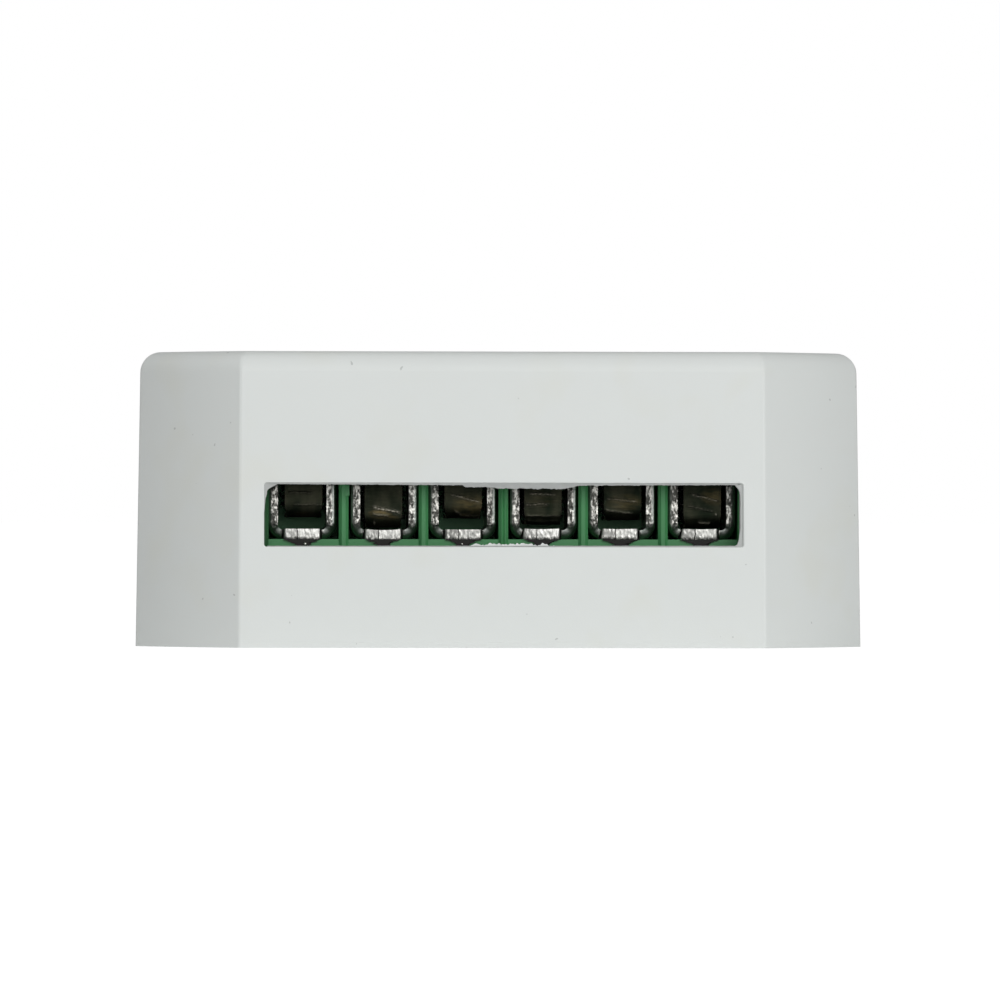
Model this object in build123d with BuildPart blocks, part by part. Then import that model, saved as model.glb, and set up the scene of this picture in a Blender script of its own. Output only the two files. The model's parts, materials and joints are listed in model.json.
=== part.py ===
from build123d import *
import os
from math import hypot, radians, tan

# A flush-mounting energy meter: a drafted white box with six screw terminals behind one window.
# Millimetres. +Z is up, the terminals face -Y, and the origin is the centre of the underside.

# Case
case_width = 45.7  # across the flats at the foot, both ways
case_height = 18.5
corner_setback = 6.44  # where the round corners begin, in from the square's corners
draft = 0.9  # degrees, on every side wall
wall = 1.5
roof = 1.5
top_edge_radius = 1.3
corner_edge_radius = 0.35

# Base cover, let into the foot of the shell
cover_thickness = 1.5
cover_rim = 0.8
cover_gap = 0.1
hook_width = 5.0
hook_thickness = 1.0
hook_height = 2.2
hook_spacing = 22.0
hook_wall_gap = 0.15
barb_reach = 0.35
barb_height = 0.6
barb_drop = 0.3
pocket_gap = 0.12
post_radius = 1.2
pry_notch_width = 5.0  # where a blade lifts the cover
pry_notch_depth = 0.8
pry_notch_height = 0.7

# Main board
board_underside = 4.0
board_thickness = 1.6
board_clearance = 0.2
side_post_y = 6.0
end_post_setback = 1.6  # in from where the round corners begin
post_edge_distance = 1.8
hold_down_width = 1.5
hold_down_reach = 1.3
hold_down_gap = 0.02

# Screw terminals: two blocks of three ways
ways = 6
pitch = 5.0
row_offset = 0.15  # the row stands a little right of the case's middle
block_depth = 7.8
block_floor = 1.16
lip_setback = 0.2  # the floor's front edge stands back between the ribs
block_end_wall = 0.6
block_edge = 0.08
cell_width = 4.4
cell_depth = 6.4
cell_height = 5.57
rib_bevel = 0.18
head_hole_radius = 2.0
notch_mouth_width = 2.3
notch_throat_width = 1.3
notch_throat_drop = 0.15
notch_width = 0.8
notch_slope = 0.3
notch_depth = 1.0
guard_slot_height = 0.95
guard_slot_gap = 0.12

# Wire clamps, each bent from one strip into a loop
strip = 0.58
clamp_width = 4.2
clamp_opening = 3.4
clamp_length = 5.2
clamp_setback = 0.4
clamp_bend = 0.9
collar_radius = 1.85
collar_height = 0.7
thread_radius = 1.45
thread_clearance = 0.05
tab_width = 2.26
relief_width = 0.15  # cuts beside the tab that let the strip's corners bend
relief_depth = 1.2
seam_offset = -0.28
seam_width = 0.06
pin_width = 0.6
pin_thickness = 0.6
pin_setback = 0.05
pin_shoulder_width = 1.1
pin_shoulder_drop = 0.25
pin_tail = 1.5
pin_edge_distance = 1.1
pin_hole_radius = 0.5

# Wire guards: a bent leaf under each screw
guard_width = 2.35
guard_thickness = 0.3
guard_height = 2.8
guard_bend = 0.9
guard_setback = 0.75
guard_length = 4.4
guard_gaps = [0.73, 0.10, 0.68, 0.30, 0.58, 0.08]  # leaf above the clamp's floor, way by way

# Terminal screws
thread_pitch = 0.5
shank_length = 4.58
head_radius = 1.9
head_height = 1.2
head_edge = 0.2
slot_width = 0.7
slot_depth = 0.7
screw_setback = 3.2
tip_gap = 0.02

# Openings in the shell
window_width = 29.95
window_height = 4.05
window_offset = 0.12
window_lip = 0.47  # how much of the block's floor shows above the window's lower edge
window_corner = 0.18
window_bevel_right = 0.22  # the rim slopes in at the right and the top
window_bevel_top = 0.14
window_bevel_depth = 0.35
driver_hole_radius = 1.75
driver_hole_chamfer = 0.3
pad_height = 0.4
pad_gap = 0.1
pad_depth = 5.2
pad_overhang = 0.3

# Label and its recess
label_width = 32.0
label_depth = 19.0
label_y = -2.0
label_corner = 1.5
label_recess = 0.2
label_thickness = 0.12
label_margin = 0.15

# Pairing button and its switch
button_side_distance = 8.0  # in from the case's right flat
button_back_distance = 9.2
button_radius = 2.0
button_clearance = 0.1
button_recess = 0.2
button_edge = 0.3
button_flange_radius = 2.6
button_flange_height = 0.8
button_flange_gap = 0.05
button_sleeve_length = 3.0
button_sleeve_wall = 1.0
switch_width = 6.0
switch_height = 3.4
switch_well_radius = 2.3
switch_well_floor = 2.0
switch_cover_thickness = 0.12
switch_cover_hole = 1.8
plunger_radius = 1.7
plunger_flange_radius = 2.1
plunger_flange_height = 0.6
plunger_rise = 0.8
plunger_drop = 0.35
dome_thickness = 0.12
dome_radius = 2.1
dome_flat_radius = 0.9
button_contact_gap = 0.02

# Status light and its pipe
light_spacing = 6.0  # left of the button
light_width = 2.0
light_depth = 1.25
light_height = 0.8
light_pipe_radius = 1.2
light_pipe_gap = 0.2
light_pipe_recess = 0.05
light_pipe_flange_radius = 1.7
light_pipe_flange_height = 0.8
light_sleeve_length = 2.5
light_sleeve_wall = 0.8

# Radio board, standing in a slot of the main board
radio_width = 18.0
radio_thickness = 0.8
radio_edge_distance = 4.7
radio_tail = 1.7
radio_headroom = 0.4
radio_slot_gap = 0.1
shield_width = 11.0
shield_top_margin = 0.7
shield_depth = 1.8
shield_sheet = 0.2
shield_x = -2.0
shield_above_board = 1.2

# Power supply parts
lead_radius = 0.3
lead_tail = 1.4
lead_hole_gap = 0.2
bulk_radius = 4.0
bulk_headroom = 0.9
bulk_edge_distance = 1.6
bulk_block_gap = 1.6
bulk_spacing = 9.4
bulk_lead_spacing = 3.5
bulk_groove_height = 1.6
bulk_groove_depth = 0.25
output_radius = 2.5
output_height = 8.0
output_edge_distance = 2.2
output_choke_gap = 1.2
output_lead_spacing = 2.0
choke_radius = 3.6
choke_height = 9.0
choke_flange = 1.2
choke_waist = 0.5
choke_edge_distance = 1.6
choke_block_gap = 2.6
choke_lead_spacing = 5.0
varistor_radius = 3.8
varistor_thickness = 3.2
varistor_block_gap = 2.2
varistor_rise = 0.6
varistor_edge = 0.8
varistor_lead_spacing = 5.0
film_width = 10.0
film_depth = 4.0
film_height = 8.0
film_block_gap = 1.0
film_lead_spacing = 7.5
film_edge = 0.25
lead_root = 0.25  # how far a lead runs up into its part
fuse_radius = 1.5
fuse_length = 8.0
fuse_film_gap = 1.2
fuse_rise = 0.3
fuse_lead_reach = 1.2
fuse_edge = 0.5

# Surface-mounted parts
chip_lead_reach = 0.9
chip_lead_thickness = 0.2
chip_lead_width = 0.4
chip_standoff = 0.1
bridge_length = 4.7
bridge_depth = 3.9
bridge_height = 2.4
bridge_lead_pitch = 2.54
bridge_x = -6.5
bridge_fuse_gap = 0.6
small_chip_length = 4.9
small_chip_depth = 3.9
small_chip_height = 1.5
small_chip_x = 9.2
small_chip_fuse_gap = 0.7
meter_chip_length = 9.9
meter_chip_height = 1.6
meter_chip_x = 1.0
meter_chip_fuse_gap = 3.8
chip_lead_pitch = 1.27
crystal_length = 5.0
crystal_depth = 3.2
crystal_height = 1.0
crystal_chip_gap = 0.6
resistor_length = 1.6
resistor_depth = 0.8
resistor_height = 0.45
resistor_count = 6
resistor_spacing = 2.5
resistor_chip_gap = 0.6
capacitor_length = 2.0
capacitor_depth = 1.25
capacitor_height = 0.9
capacitor_count = 4
capacitor_spacing = 3.8
capacitor_resistor_gap = 1.4

# Solder
solder_radius = 0.95
solder_tip_radius = 0.55
solder_height = 0.9

same_length = 1e-6  # two lengths closer than this are the same

# Places worked out from the sizes above
slope = tan(radians(draft))
corner_circle = hypot(case_width / 2, case_width / 2 - corner_setback)
ceiling = case_height - roof
board_top = board_underside + board_thickness
board_inset = wall + board_top * slope + board_clearance
board_edge = case_width / 2 - board_inset
post_x = board_edge - post_edge_distance
end_post_y = case_width / 2 - corner_setback - end_post_setback
end_post_x = end_post_y
side_posts = [(side * post_x, end * side_post_y) for side in (-1, 1) for end in (-1, 1)]
end_posts = [(side * end_post_x, end * end_post_y) for side in (-1, 1) for end in (-1, 1)]

way_places = [row_offset + pitch * (way - (ways - 1) / 2) for way in range(ways)]
pin_y = pin_edge_distance - board_edge
block_front = pin_y - pin_setback - pin_thickness / 2
block_back = block_front + block_depth
block_top = ceiling - pad_height - pad_gap
block_width = (ways // 2) * pitch - (pitch - cell_width) / 2 + block_end_wall
cell_floor = board_top + block_floor
cell_ceiling = cell_floor + cell_height
clamp_front = block_front + clamp_setback
clamp_floor = cell_floor + strip
clamp_roof = clamp_floor + clamp_opening
clamp_top = clamp_roof + strip
screw_y = block_front + screw_setback
guard_front = block_front + guard_setback
window_bottom = cell_floor - window_lip
head_limit = block_top - pad_gap / 2

button_x = case_width / 2 - button_side_distance
button_y = case_width / 2 - button_back_distance
switch_top = board_top + switch_height
plunger_top = switch_top + switch_cover_thickness + plunger_rise
dome_foot = board_top + switch_well_floor
button_foot = plunger_top + button_contact_gap
sleeve_foot = ceiling - button_sleeve_length
light_x = button_x - light_spacing
light_y = button_y
light_top = board_top + light_height

radio_y = board_edge - radio_edge_distance
radio_foot = board_underside - radio_tail
radio_top = ceiling - radio_headroom
shield_foot = board_top + shield_above_board
shield_height = radio_top - shield_top_margin - shield_foot

lead_foot = board_underside - lead_tail
bulk_height = ceiling - bulk_headroom - board_top
bulk_x = bulk_edge_distance + bulk_radius - board_edge
bulk_y = block_back + bulk_block_gap + bulk_radius
bulk_places = [bulk_y, bulk_y + bulk_spacing]
choke_x = board_edge - choke_edge_distance - choke_radius
choke_y = block_back + choke_block_gap + choke_radius
output_x = board_edge - output_edge_distance - output_radius
output_y = choke_y + choke_radius + output_choke_gap + output_radius
row_space = choke_x - choke_radius - bulk_x - bulk_radius - 2 * varistor_radius - film_width
varistor_x = bulk_x + bulk_radius + row_space / 3 + varistor_radius
varistor_y = block_back + varistor_block_gap + varistor_thickness / 2
film_x = choke_x - choke_radius - row_space / 3 - film_width / 2
film_y = block_back + film_block_gap + film_depth / 2
fuse_x = film_x - fuse_lead_reach
fuse_y = film_y + film_depth / 2 + fuse_film_gap + fuse_radius
fuse_back = fuse_y + fuse_radius
bridge_y = fuse_back + bridge_fuse_gap + bridge_depth / 2
small_chip_y = fuse_back + small_chip_fuse_gap + small_chip_depth / 2
meter_chip_y = fuse_back + meter_chip_fuse_gap + small_chip_depth / 2
crystal_y = small_chip_y + small_chip_depth / 2 + chip_lead_reach + crystal_chip_gap + crystal_depth / 2
resistor_y = meter_chip_y + small_chip_depth / 2 + chip_lead_reach + resistor_chip_gap
capacitor_y = resistor_y + capacitor_resistor_gap + capacitor_depth
row_middle = meter_chip_x - resistor_spacing


def place_row(middle, y, spacing, count):
    """The centres of a row of like parts along x."""
    return [(middle + spacing * (k - (count - 1) / 2), y) for k in range(count)]


resistor_places = place_row(row_middle, resistor_y, resistor_spacing, resistor_count)
capacitor_places = place_row(row_middle, capacitor_y, capacitor_spacing, capacitor_count)

# Travel of each screw and its leaf from where they stand: down to the clamp's floor, up to the block's top
guard_gap_closed = 0.05
guard_gap_open = head_limit - head_height - shank_length - tip_gap - guard_thickness - clamp_floor
travels = [(guard_gap_closed - gap, guard_gap_open - gap) for gap in guard_gaps]

os.makedirs("parts", exist_ok=True)


def draw_case_outline(inset):
    """Draws the square cut by the corner circle, drawn in by inset, in the open sketch."""
    Circle(corner_circle - inset)
    Rectangle(case_width - 2 * inset, case_width - 2 * inset, mode=Mode.INTERSECT)


def front_plane(y):
    """The plane at y that faces the terminals' side, with its own y up."""
    return Plane.XZ.offset(-y)


def across_plane(x):
    """The plane at x that faces right, with its own x to the back and its own y up."""
    return Plane.YZ.offset(x)


def write_part(part, name):
    """Labels a finished piece and writes it to parts/."""
    part.label = name
    export_step(part, f"parts/{name}.step")


def make_top_shell():
    """The deep shell: roof and four walls in one moulding, open at the foot."""
    with BuildPart() as top_shell:
        with BuildSketch():
            draw_case_outline(0)
        extrude(amount=case_height, taper=draft)
        edges = top_shell.edges()
        fillet(edges.filter_by(lambda edge: edge.bounding_box().size.Z > case_height / 2), corner_edge_radius)
        fillet(top_shell.faces().sort_by(Axis.Z)[-1].edges(), top_edge_radius)
        with BuildSketch():
            draw_case_outline(wall)
        extrude(amount=ceiling, taper=draft, mode=Mode.SUBTRACT)
        with BuildSketch():
            draw_case_outline(cover_rim)
        extrude(amount=cover_thickness, mode=Mode.SUBTRACT)

        # pad over the terminal blocks, and sleeves for the button and the light pipe
        with BuildSketch(Plane.XY.offset(ceiling)):
            with Locations((row_offset, screw_y)):
                Rectangle(2 * block_width + 2 * pad_overhang, pad_depth)
        extrude(amount=-pad_height)
        with BuildSketch(Plane.XY.offset(ceiling)):
            with Locations((button_x, button_y)):
                Circle(button_radius + button_clearance + button_sleeve_wall)
        extrude(amount=-button_sleeve_length)
        with BuildSketch(Plane.XY.offset(ceiling)):
            with Locations((light_x, light_y)):
                Circle(light_pipe_radius + light_sleeve_wall)
        extrude(amount=-light_sleeve_length)

        # ribs on the side walls that hold the board down
        rib_depth = wall / 2 + board_inset - wall + hold_down_reach
        rib_centre = case_width / 2 - wall / 2 - ceiling * slope - rib_depth / 2
        with BuildSketch(Plane.XY.offset(board_top + hold_down_gap)):
            with Locations([(side * rib_centre, end * side_post_y) for side in (-1, 1) for end in (-1, 1)]):
                Rectangle(rib_depth, hold_down_width)
        extrude(amount=ceiling - board_top - hold_down_gap)

        # terminal window with a bevelled rim
        rim_y = window_bottom * slope - case_width / 2
        inner_width = window_width - window_bevel_right
        inner_height = window_height - window_bevel_top
        with BuildSketch(front_plane(rim_y)):
            with Locations((window_offset, window_bottom + window_height / 2)):
                RectangleRounded(window_width, window_height, window_corner)
        with BuildSketch(front_plane(rim_y + window_bevel_depth)) as inner_window:
            with Locations((window_offset - window_bevel_right / 2, window_bottom + inner_height / 2)):
                RectangleRounded(inner_width, inner_height, window_corner)
        loft(mode=Mode.SUBTRACT)
        extrude(inner_window.sketch, amount=-wall - ceiling * slope, mode=Mode.SUBTRACT)

        # holes in the roof
        with BuildSketch(Plane.XY.offset(case_height)):
            with Locations([(x, screw_y) for x in way_places]):
                Circle(driver_hole_radius)
            with Locations((button_x, button_y)):
                Circle(button_radius + button_clearance)
            with Locations((light_x, light_y)):
                Circle(light_pipe_radius)
        extrude(amount=-(roof + button_sleeve_length), mode=Mode.SUBTRACT)
        rims = top_shell.edges().filter_by(GeomType.CIRCLE).group_by(Axis.Z)[-1]
        driver_rims = rims.filter_by(lambda edge: abs(edge.radius - driver_hole_radius) < same_length)
        chamfer(driver_rims, driver_hole_chamfer)

        # label recess
        with BuildSketch(Plane.XY.offset(case_height)):
            with Locations((0, label_y)):
                RectangleRounded(label_width, label_depth, label_corner)
        extrude(amount=-label_recess, mode=Mode.SUBTRACT)

        # pockets for the cover's barbs
        pocket_bottom = cover_thickness + hook_height - barb_drop - barb_height - pocket_gap
        pocket_height = barb_height + 2 * pocket_gap
        pocket_depth = barb_reach + pocket_gap
        pocket_x = case_width / 2 - wall
        pockets = [(side * pocket_x, end * hook_spacing / 2) for side in (-1, 1) for end in (-1, 1)]
        with BuildSketch(Plane.XY.offset(pocket_bottom)):
            with Locations(pockets):
                Rectangle(2 * pocket_depth, hook_width + 2 * pocket_gap)
        extrude(amount=pocket_height, mode=Mode.SUBTRACT)
    write_part(top_shell.part, "top_shell")


def make_base_cover():
    """The flat cover that closes the foot, with snap hooks and posts for the board."""
    hook_face = case_width / 2 - wall - hook_wall_gap - (cover_thickness + hook_height) * slope
    with BuildPart() as base_cover:
        with BuildSketch():
            draw_case_outline(cover_rim + cover_gap)
        extrude(amount=cover_thickness - cover_gap)
        with BuildSketch(Plane.XY.offset(cover_thickness - cover_gap)):
            draw_case_outline(wall + cover_gap + cover_thickness * slope)
        extrude(amount=cover_gap)
        with BuildSketch(Plane.XY.offset(cover_thickness)):
            with Locations(side_posts + end_posts):
                Circle(post_radius)
        extrude(amount=board_underside - cover_thickness)
        for side in (-1, 1):
            for end in (-1, 1):
                with BuildSketch(front_plane(end * hook_spacing / 2 - hook_width / 2)):
                    with BuildLine():
                        hook_top = cover_thickness + hook_height
                        barb_top = hook_top - barb_drop
                        barb_edge = hook_face + hook_wall_gap + barb_reach
                        Polyline(
                            (side * (hook_face - hook_thickness), cover_thickness - cover_gap),
                            (side * (hook_face - hook_thickness), hook_top),
                            (side * hook_face, hook_top),
                            (side * barb_edge, barb_top - barb_height / 2),
                            (side * barb_edge, barb_top - barb_height),
                            (side * hook_face, barb_top - barb_height),
                            (side * hook_face, cover_thickness - cover_gap),
                            close=True,
                        )
                    make_face()
                extrude(amount=-hook_width)
        with BuildSketch():
            with Locations([(0, end * (case_width / 2 - cover_rim - cover_gap)) for end in (-1, 1)]):
                Rectangle(pry_notch_width, 2 * pry_notch_depth)
        extrude(amount=pry_notch_height, mode=Mode.SUBTRACT)
    write_part(base_cover.part, "base_cover")


def make_blank_label():
    """The thin label in its recess, left blank."""
    with BuildPart() as blank_label:
        with BuildSketch(Plane.XY.offset(case_height - label_recess)):
            with Locations((0, label_y)):
                RectangleRounded(
                    label_width - 2 * label_margin,
                    label_depth - 2 * label_margin,
                    label_corner - label_margin,
                )
        extrude(amount=label_thickness)
    write_part(blank_label.part, "blank_label")


# Where leads and pins pass through the main board
bulk_leads = [(bulk_x, y + side * bulk_lead_spacing / 2) for y in bulk_places for side in (-1, 1)]
output_leads = [(output_x, output_y + side * output_lead_spacing / 2) for side in (-1, 1)]
choke_leads = [(choke_x, choke_y + side * choke_lead_spacing / 2) for side in (-1, 1)]
varistor_leads = [(varistor_x + side * varistor_lead_spacing / 2, varistor_y) for side in (-1, 1)]
film_leads = [(film_x + side * film_lead_spacing / 2, film_y) for side in (-1, 1)]
fuse_leads = [(fuse_x + side * (fuse_length / 2 + fuse_lead_reach), fuse_y) for side in (-1, 1)]
round_leads = bulk_leads + output_leads + choke_leads + varistor_leads + film_leads + fuse_leads
clamp_pins = [(x, pin_y) for x in way_places]


def make_main_board():
    """The main circuit board, drilled for every lead and slotted for the radio board."""
    with BuildPart() as main_board:
        with BuildSketch(Plane.XY.offset(board_underside)):
            draw_case_outline(board_inset)
            with Locations(clamp_pins):
                Circle(pin_hole_radius, mode=Mode.SUBTRACT)
            with Locations(round_leads):
                Circle(lead_radius + lead_hole_gap, mode=Mode.SUBTRACT)
            with Locations((0, radio_y)):
                Rectangle(
                    radio_width + 2 * radio_slot_gap,
                    radio_thickness + 2 * radio_slot_gap,
                    mode=Mode.SUBTRACT,
                )
        extrude(amount=board_thickness)
    write_part(main_board.part, "main_board")


def make_terminal_block(name, side):
    """Three ways of the terminal row in one green moulding: side is -1 for left, 1 for right."""
    centre = row_offset + side * block_width / 2
    block_ways = [x for x in way_places if side * (x - row_offset) > 0]
    with BuildPart() as block:
        with BuildSketch(Plane.XY.offset(board_top)):
            with Locations((centre, block_front + block_depth / 2)):
                Rectangle(block_width, block_depth)
        extrude(amount=block_top - board_top)
        with BuildSketch(front_plane(block_front)):
            with Locations([(x, cell_floor + cell_height / 2) for x in block_ways]):
                Rectangle(cell_width, cell_height)
        extrude(amount=-cell_depth, mode=Mode.SUBTRACT)
        with BuildSketch(front_plane(block_front)):
            with Locations([(x, board_top + block_floor / 2) for x in block_ways]):
                Rectangle(cell_width, block_floor)
        extrude(amount=-lip_setback, mode=Mode.SUBTRACT)
        chamfer(block.edges().filter_by(Axis.Z).group_by(Axis.Y)[0].sort_by(Axis.X)[1:-1], rib_bevel)
        for end in (0, -1):
            outer_corners = block.edges().filter_by(Axis.Z).group_by(Axis.X)[end]
            chamfer(outer_corners.sort_by(Axis.Y)[0], block_edge)

        # notch in the floor's front edge, where each clamp's pin goes down
        for x in block_ways:
            with BuildSketch(front_plane(block_front)):
                with BuildLine():
                    Polyline(
                        (x - notch_mouth_width / 2, cell_floor),
                        (x - notch_throat_width / 2, cell_floor - notch_throat_drop),
                        (x - notch_width / 2, cell_floor - notch_slope),
                        (x - notch_width / 2, board_top),
                        (x + notch_width / 2, board_top),
                        (x + notch_width / 2, cell_floor - notch_slope),
                        (x + notch_throat_width / 2, cell_floor - notch_throat_drop),
                        (x + notch_mouth_width / 2, cell_floor),
                        close=True,
                    )
                make_face()
            extrude(amount=-notch_depth, mode=Mode.SUBTRACT)

        # screw wells from the top, and a slot over each cell for the leaf to rise into
        with BuildSketch(Plane.XY.offset(block_top)):
            with Locations([(x, screw_y) for x in block_ways]):
                Circle(head_hole_radius)
        extrude(amount=cell_ceiling - block_top, mode=Mode.SUBTRACT)
        slot_depth_y = guard_thickness + 2 * guard_slot_gap
        with BuildSketch(Plane.XY.offset(cell_ceiling)):
            with Locations([(x, guard_front + guard_thickness / 2) for x in block_ways]):
                Rectangle(guard_width + 2 * guard_slot_gap, slot_depth_y)
        extrude(amount=guard_slot_height, mode=Mode.SUBTRACT)
    write_part(block.part, name)


def make_wire_clamp(number, x):
    """A fixed clamp: a strip bent into a threaded loop, whose ends meet in the floor and make the pin."""
    clamp_height = clamp_opening + 2 * strip
    with BuildPart() as clamp:
        with BuildSketch(front_plane(clamp_front)):
            with Locations((x, cell_floor + clamp_height / 2)):
                RectangleRounded(clamp_width, clamp_height, clamp_bend)
                RectangleRounded(
                    clamp_width - 2 * strip, clamp_opening, clamp_bend - strip, mode=Mode.SUBTRACT
                )
        extrude(amount=-clamp_length)

        # drawn collar with the thread, and the notch that the leaf slides in
        with BuildSketch(Plane.XY.offset(clamp_top)):
            with Locations((x, screw_y)):
                Circle(collar_radius)
        extrude(amount=collar_height)
        with BuildSketch(Plane.XY.offset(clamp_top + collar_height)):
            with Locations((x, screw_y)):
                Circle(thread_radius + thread_clearance)
        extrude(amount=-(clamp_bend + collar_height), mode=Mode.SUBTRACT)
        notch_back = screw_y - collar_radius
        with BuildSketch(Plane.XY.offset(clamp_roof)):
            with Locations((x, (clamp_front + notch_back) / 2)):
                Rectangle(guard_width + 2 * guard_slot_gap, notch_back - clamp_front)
        extrude(amount=strip, mode=Mode.SUBTRACT)

        # front tab with a relief cut on each side, and the seam where the strip's ends meet
        relief_x = (tab_width + relief_width) / 2
        with BuildSketch(Plane.XY.offset(cell_floor)):
            with Locations([(x + side * relief_x, clamp_front + relief_depth / 2) for side in (-1, 1)]):
                Rectangle(relief_width, relief_depth)
        extrude(amount=strip, mode=Mode.SUBTRACT)
        with BuildSketch(Plane.XY.offset(cell_floor)):
            with Locations((x, block_front + clamp_setback / 2)):
                Rectangle(tab_width, clamp_setback)
        extrude(amount=strip)
        with BuildSketch(Plane.XY.offset(cell_floor)):
            with Locations((x + seam_offset, block_front + (clamp_setback + clamp_length) / 2)):
                Rectangle(seam_width, clamp_setback + clamp_length)
        extrude(amount=strip, mode=Mode.SUBTRACT)

        # solder pin, bent down from the tab
        with BuildSketch(front_plane(pin_y - pin_thickness / 2)):
            with BuildLine():
                Polyline(
                    (x - pin_shoulder_width / 2, cell_floor),
                    (x - pin_width / 2, cell_floor - pin_shoulder_drop),
                    (x - pin_width / 2, board_underside - pin_tail),
                    (x + pin_width / 2, board_underside - pin_tail),
                    (x + pin_width / 2, cell_floor - pin_shoulder_drop),
                    (x + pin_shoulder_width / 2, cell_floor),
                    close=True,
                )
            make_face()
        extrude(amount=-pin_thickness)
    write_part(clamp.part, f"wire_clamp_{number}")


def make_wire_guard(number, x, gap):
    """The leaf that the screw presses on the wire: a face to the front, and a foot under the screw."""
    foot = clamp_floor + gap
    with BuildPart() as guard:
        with BuildSketch(across_plane(x - guard_width / 2)):
            with BuildLine():
                outer = FilletPolyline(
                    (guard_front + guard_length, foot),
                    (guard_front, foot),
                    (guard_front, foot + guard_height),
                    radius=guard_bend,
                )
                inner = FilletPolyline(
                    (guard_front + guard_thickness, foot + guard_height),
                    (guard_front + guard_thickness, foot + guard_thickness),
                    (guard_front + guard_length, foot + guard_thickness),
                    radius=guard_bend - guard_thickness,
                )
                Line(outer @ 1, inner @ 0)
                Line(inner @ 1, outer @ 0)
            make_face()
        extrude(amount=guard_width)
    write_part(guard.part, f"wire_guard_{number}")


def make_terminal_screw(number, x, gap):
    """A slotted screw. Its slot stands where its thread has turned it to at this height."""
    tip = clamp_floor + gap + guard_thickness + tip_gap
    head_foot = tip + shank_length
    slot_angle = 360 * gap / thread_pitch
    with BuildPart() as screw:
        with BuildSketch(Plane.XY.offset(tip)):
            with Locations((x, screw_y)):
                Circle(thread_radius)
        extrude(amount=shank_length)
        chamfer(screw.faces().sort_by(Axis.Z)[0].edges(), thread_pitch / 2)
        with BuildSketch(Plane.XY.offset(head_foot)):
            with Locations((x, screw_y)):
                Circle(head_radius)
        extrude(amount=head_height)
        chamfer(screw.faces().sort_by(Axis.Z)[-1].edges(), head_edge)
        with BuildSketch(Plane.XY.offset(head_foot + head_height)):
            with Locations(Location((x, screw_y), slot_angle)):
                Rectangle(2 * head_radius + slot_width, slot_width)
        extrude(amount=-slot_depth, mode=Mode.SUBTRACT)
    write_part(screw.part, f"terminal_screw_{number}")


def make_button_cap():
    """The pairing button: a rod flush in the roof that stands on the switch's plunger."""
    with BuildPart() as button_cap:
        with BuildSketch(Plane.XY.offset(button_foot)):
            with Locations((button_x, button_y)):
                Circle(button_radius)
        extrude(amount=case_height - button_recess - button_foot)
        fillet(button_cap.faces().sort_by(Axis.Z)[-1].edges(), button_edge)
        with BuildSketch(Plane.XY.offset(sleeve_foot - button_flange_gap)):
            with Locations((button_x, button_y)):
                Circle(button_flange_radius)
        extrude(amount=-button_flange_height)
    write_part(button_cap.part, "button_cap")


def make_switch():
    """The tactile switch under the button: base, dome, plunger and cover plate."""
    with BuildPart() as switch_base:
        with BuildSketch(Plane.XY.offset(board_top)):
            with Locations((button_x, button_y)):
                Rectangle(switch_width, switch_width)
        extrude(amount=switch_height)
        with BuildSketch(Plane.XY.offset(switch_top)):
            with Locations((button_x, button_y)):
                Circle(switch_well_radius)
        extrude(amount=-(switch_height - switch_well_floor), mode=Mode.SUBTRACT)
    write_part(switch_base.part, "switch_base")

    with BuildPart() as switch_cover:
        with BuildSketch(Plane.XY.offset(switch_top)):
            with Locations((button_x, button_y)):
                Rectangle(switch_width, switch_width)
                Circle(switch_cover_hole, mode=Mode.SUBTRACT)
        extrude(amount=switch_cover_thickness)
    write_part(switch_cover.part, "switch_cover")

    flange_top = switch_top - button_contact_gap
    plunger_foot = flange_top - plunger_flange_height - plunger_drop
    with BuildPart() as switch_plunger:
        with BuildSketch(Plane.XY.offset(plunger_foot)):
            with Locations((button_x, button_y)):
                Circle(plunger_radius)
        extrude(amount=plunger_top - plunger_foot)
        with BuildSketch(Plane.XY.offset(flange_top - plunger_flange_height)):
            with Locations((button_x, button_y)):
                Circle(plunger_flange_radius)
        extrude(amount=plunger_flange_height)
    write_part(switch_plunger.part, "switch_plunger")

    dome_top = plunger_foot - button_contact_gap
    with BuildPart() as switch_dome:
        with BuildSketch(Plane.XZ.offset(-button_y)):
            with BuildLine():
                Polyline(
                    (button_x, dome_top),
                    (button_x + dome_flat_radius, dome_top),
                    (button_x + dome_radius, dome_foot + dome_thickness),
                    (button_x + dome_radius, dome_foot),
                    (button_x + dome_flat_radius, dome_top - dome_thickness),
                    (button_x, dome_top - dome_thickness),
                    close=True,
                )
            make_face()
        revolve(axis=Axis((button_x, button_y, 0), (0, 0, 1)))
    write_part(switch_dome.part, "switch_dome")


def make_status_light():
    """The status light on the board, and the clear pipe that carries it to the roof."""
    with BuildPart() as status_light:
        with BuildSketch(Plane.XY.offset(board_top)):
            with Locations((light_x, light_y)):
                Rectangle(light_width, light_depth)
        extrude(amount=light_height)
    write_part(status_light.part, "status_light")

    with BuildPart() as light_pipe:
        with BuildSketch(Plane.XY.offset(light_top + light_pipe_gap)):
            with Locations((light_x, light_y)):
                Circle(light_pipe_radius)
        extrude(amount=case_height - light_pipe_recess - light_top - light_pipe_gap)
        with BuildSketch(Plane.XY.offset(ceiling - light_sleeve_length)):
            with Locations((light_x, light_y)):
                Circle(light_pipe_flange_radius)
        extrude(amount=-light_pipe_flange_height)
    write_part(light_pipe.part, "light_pipe")


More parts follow.
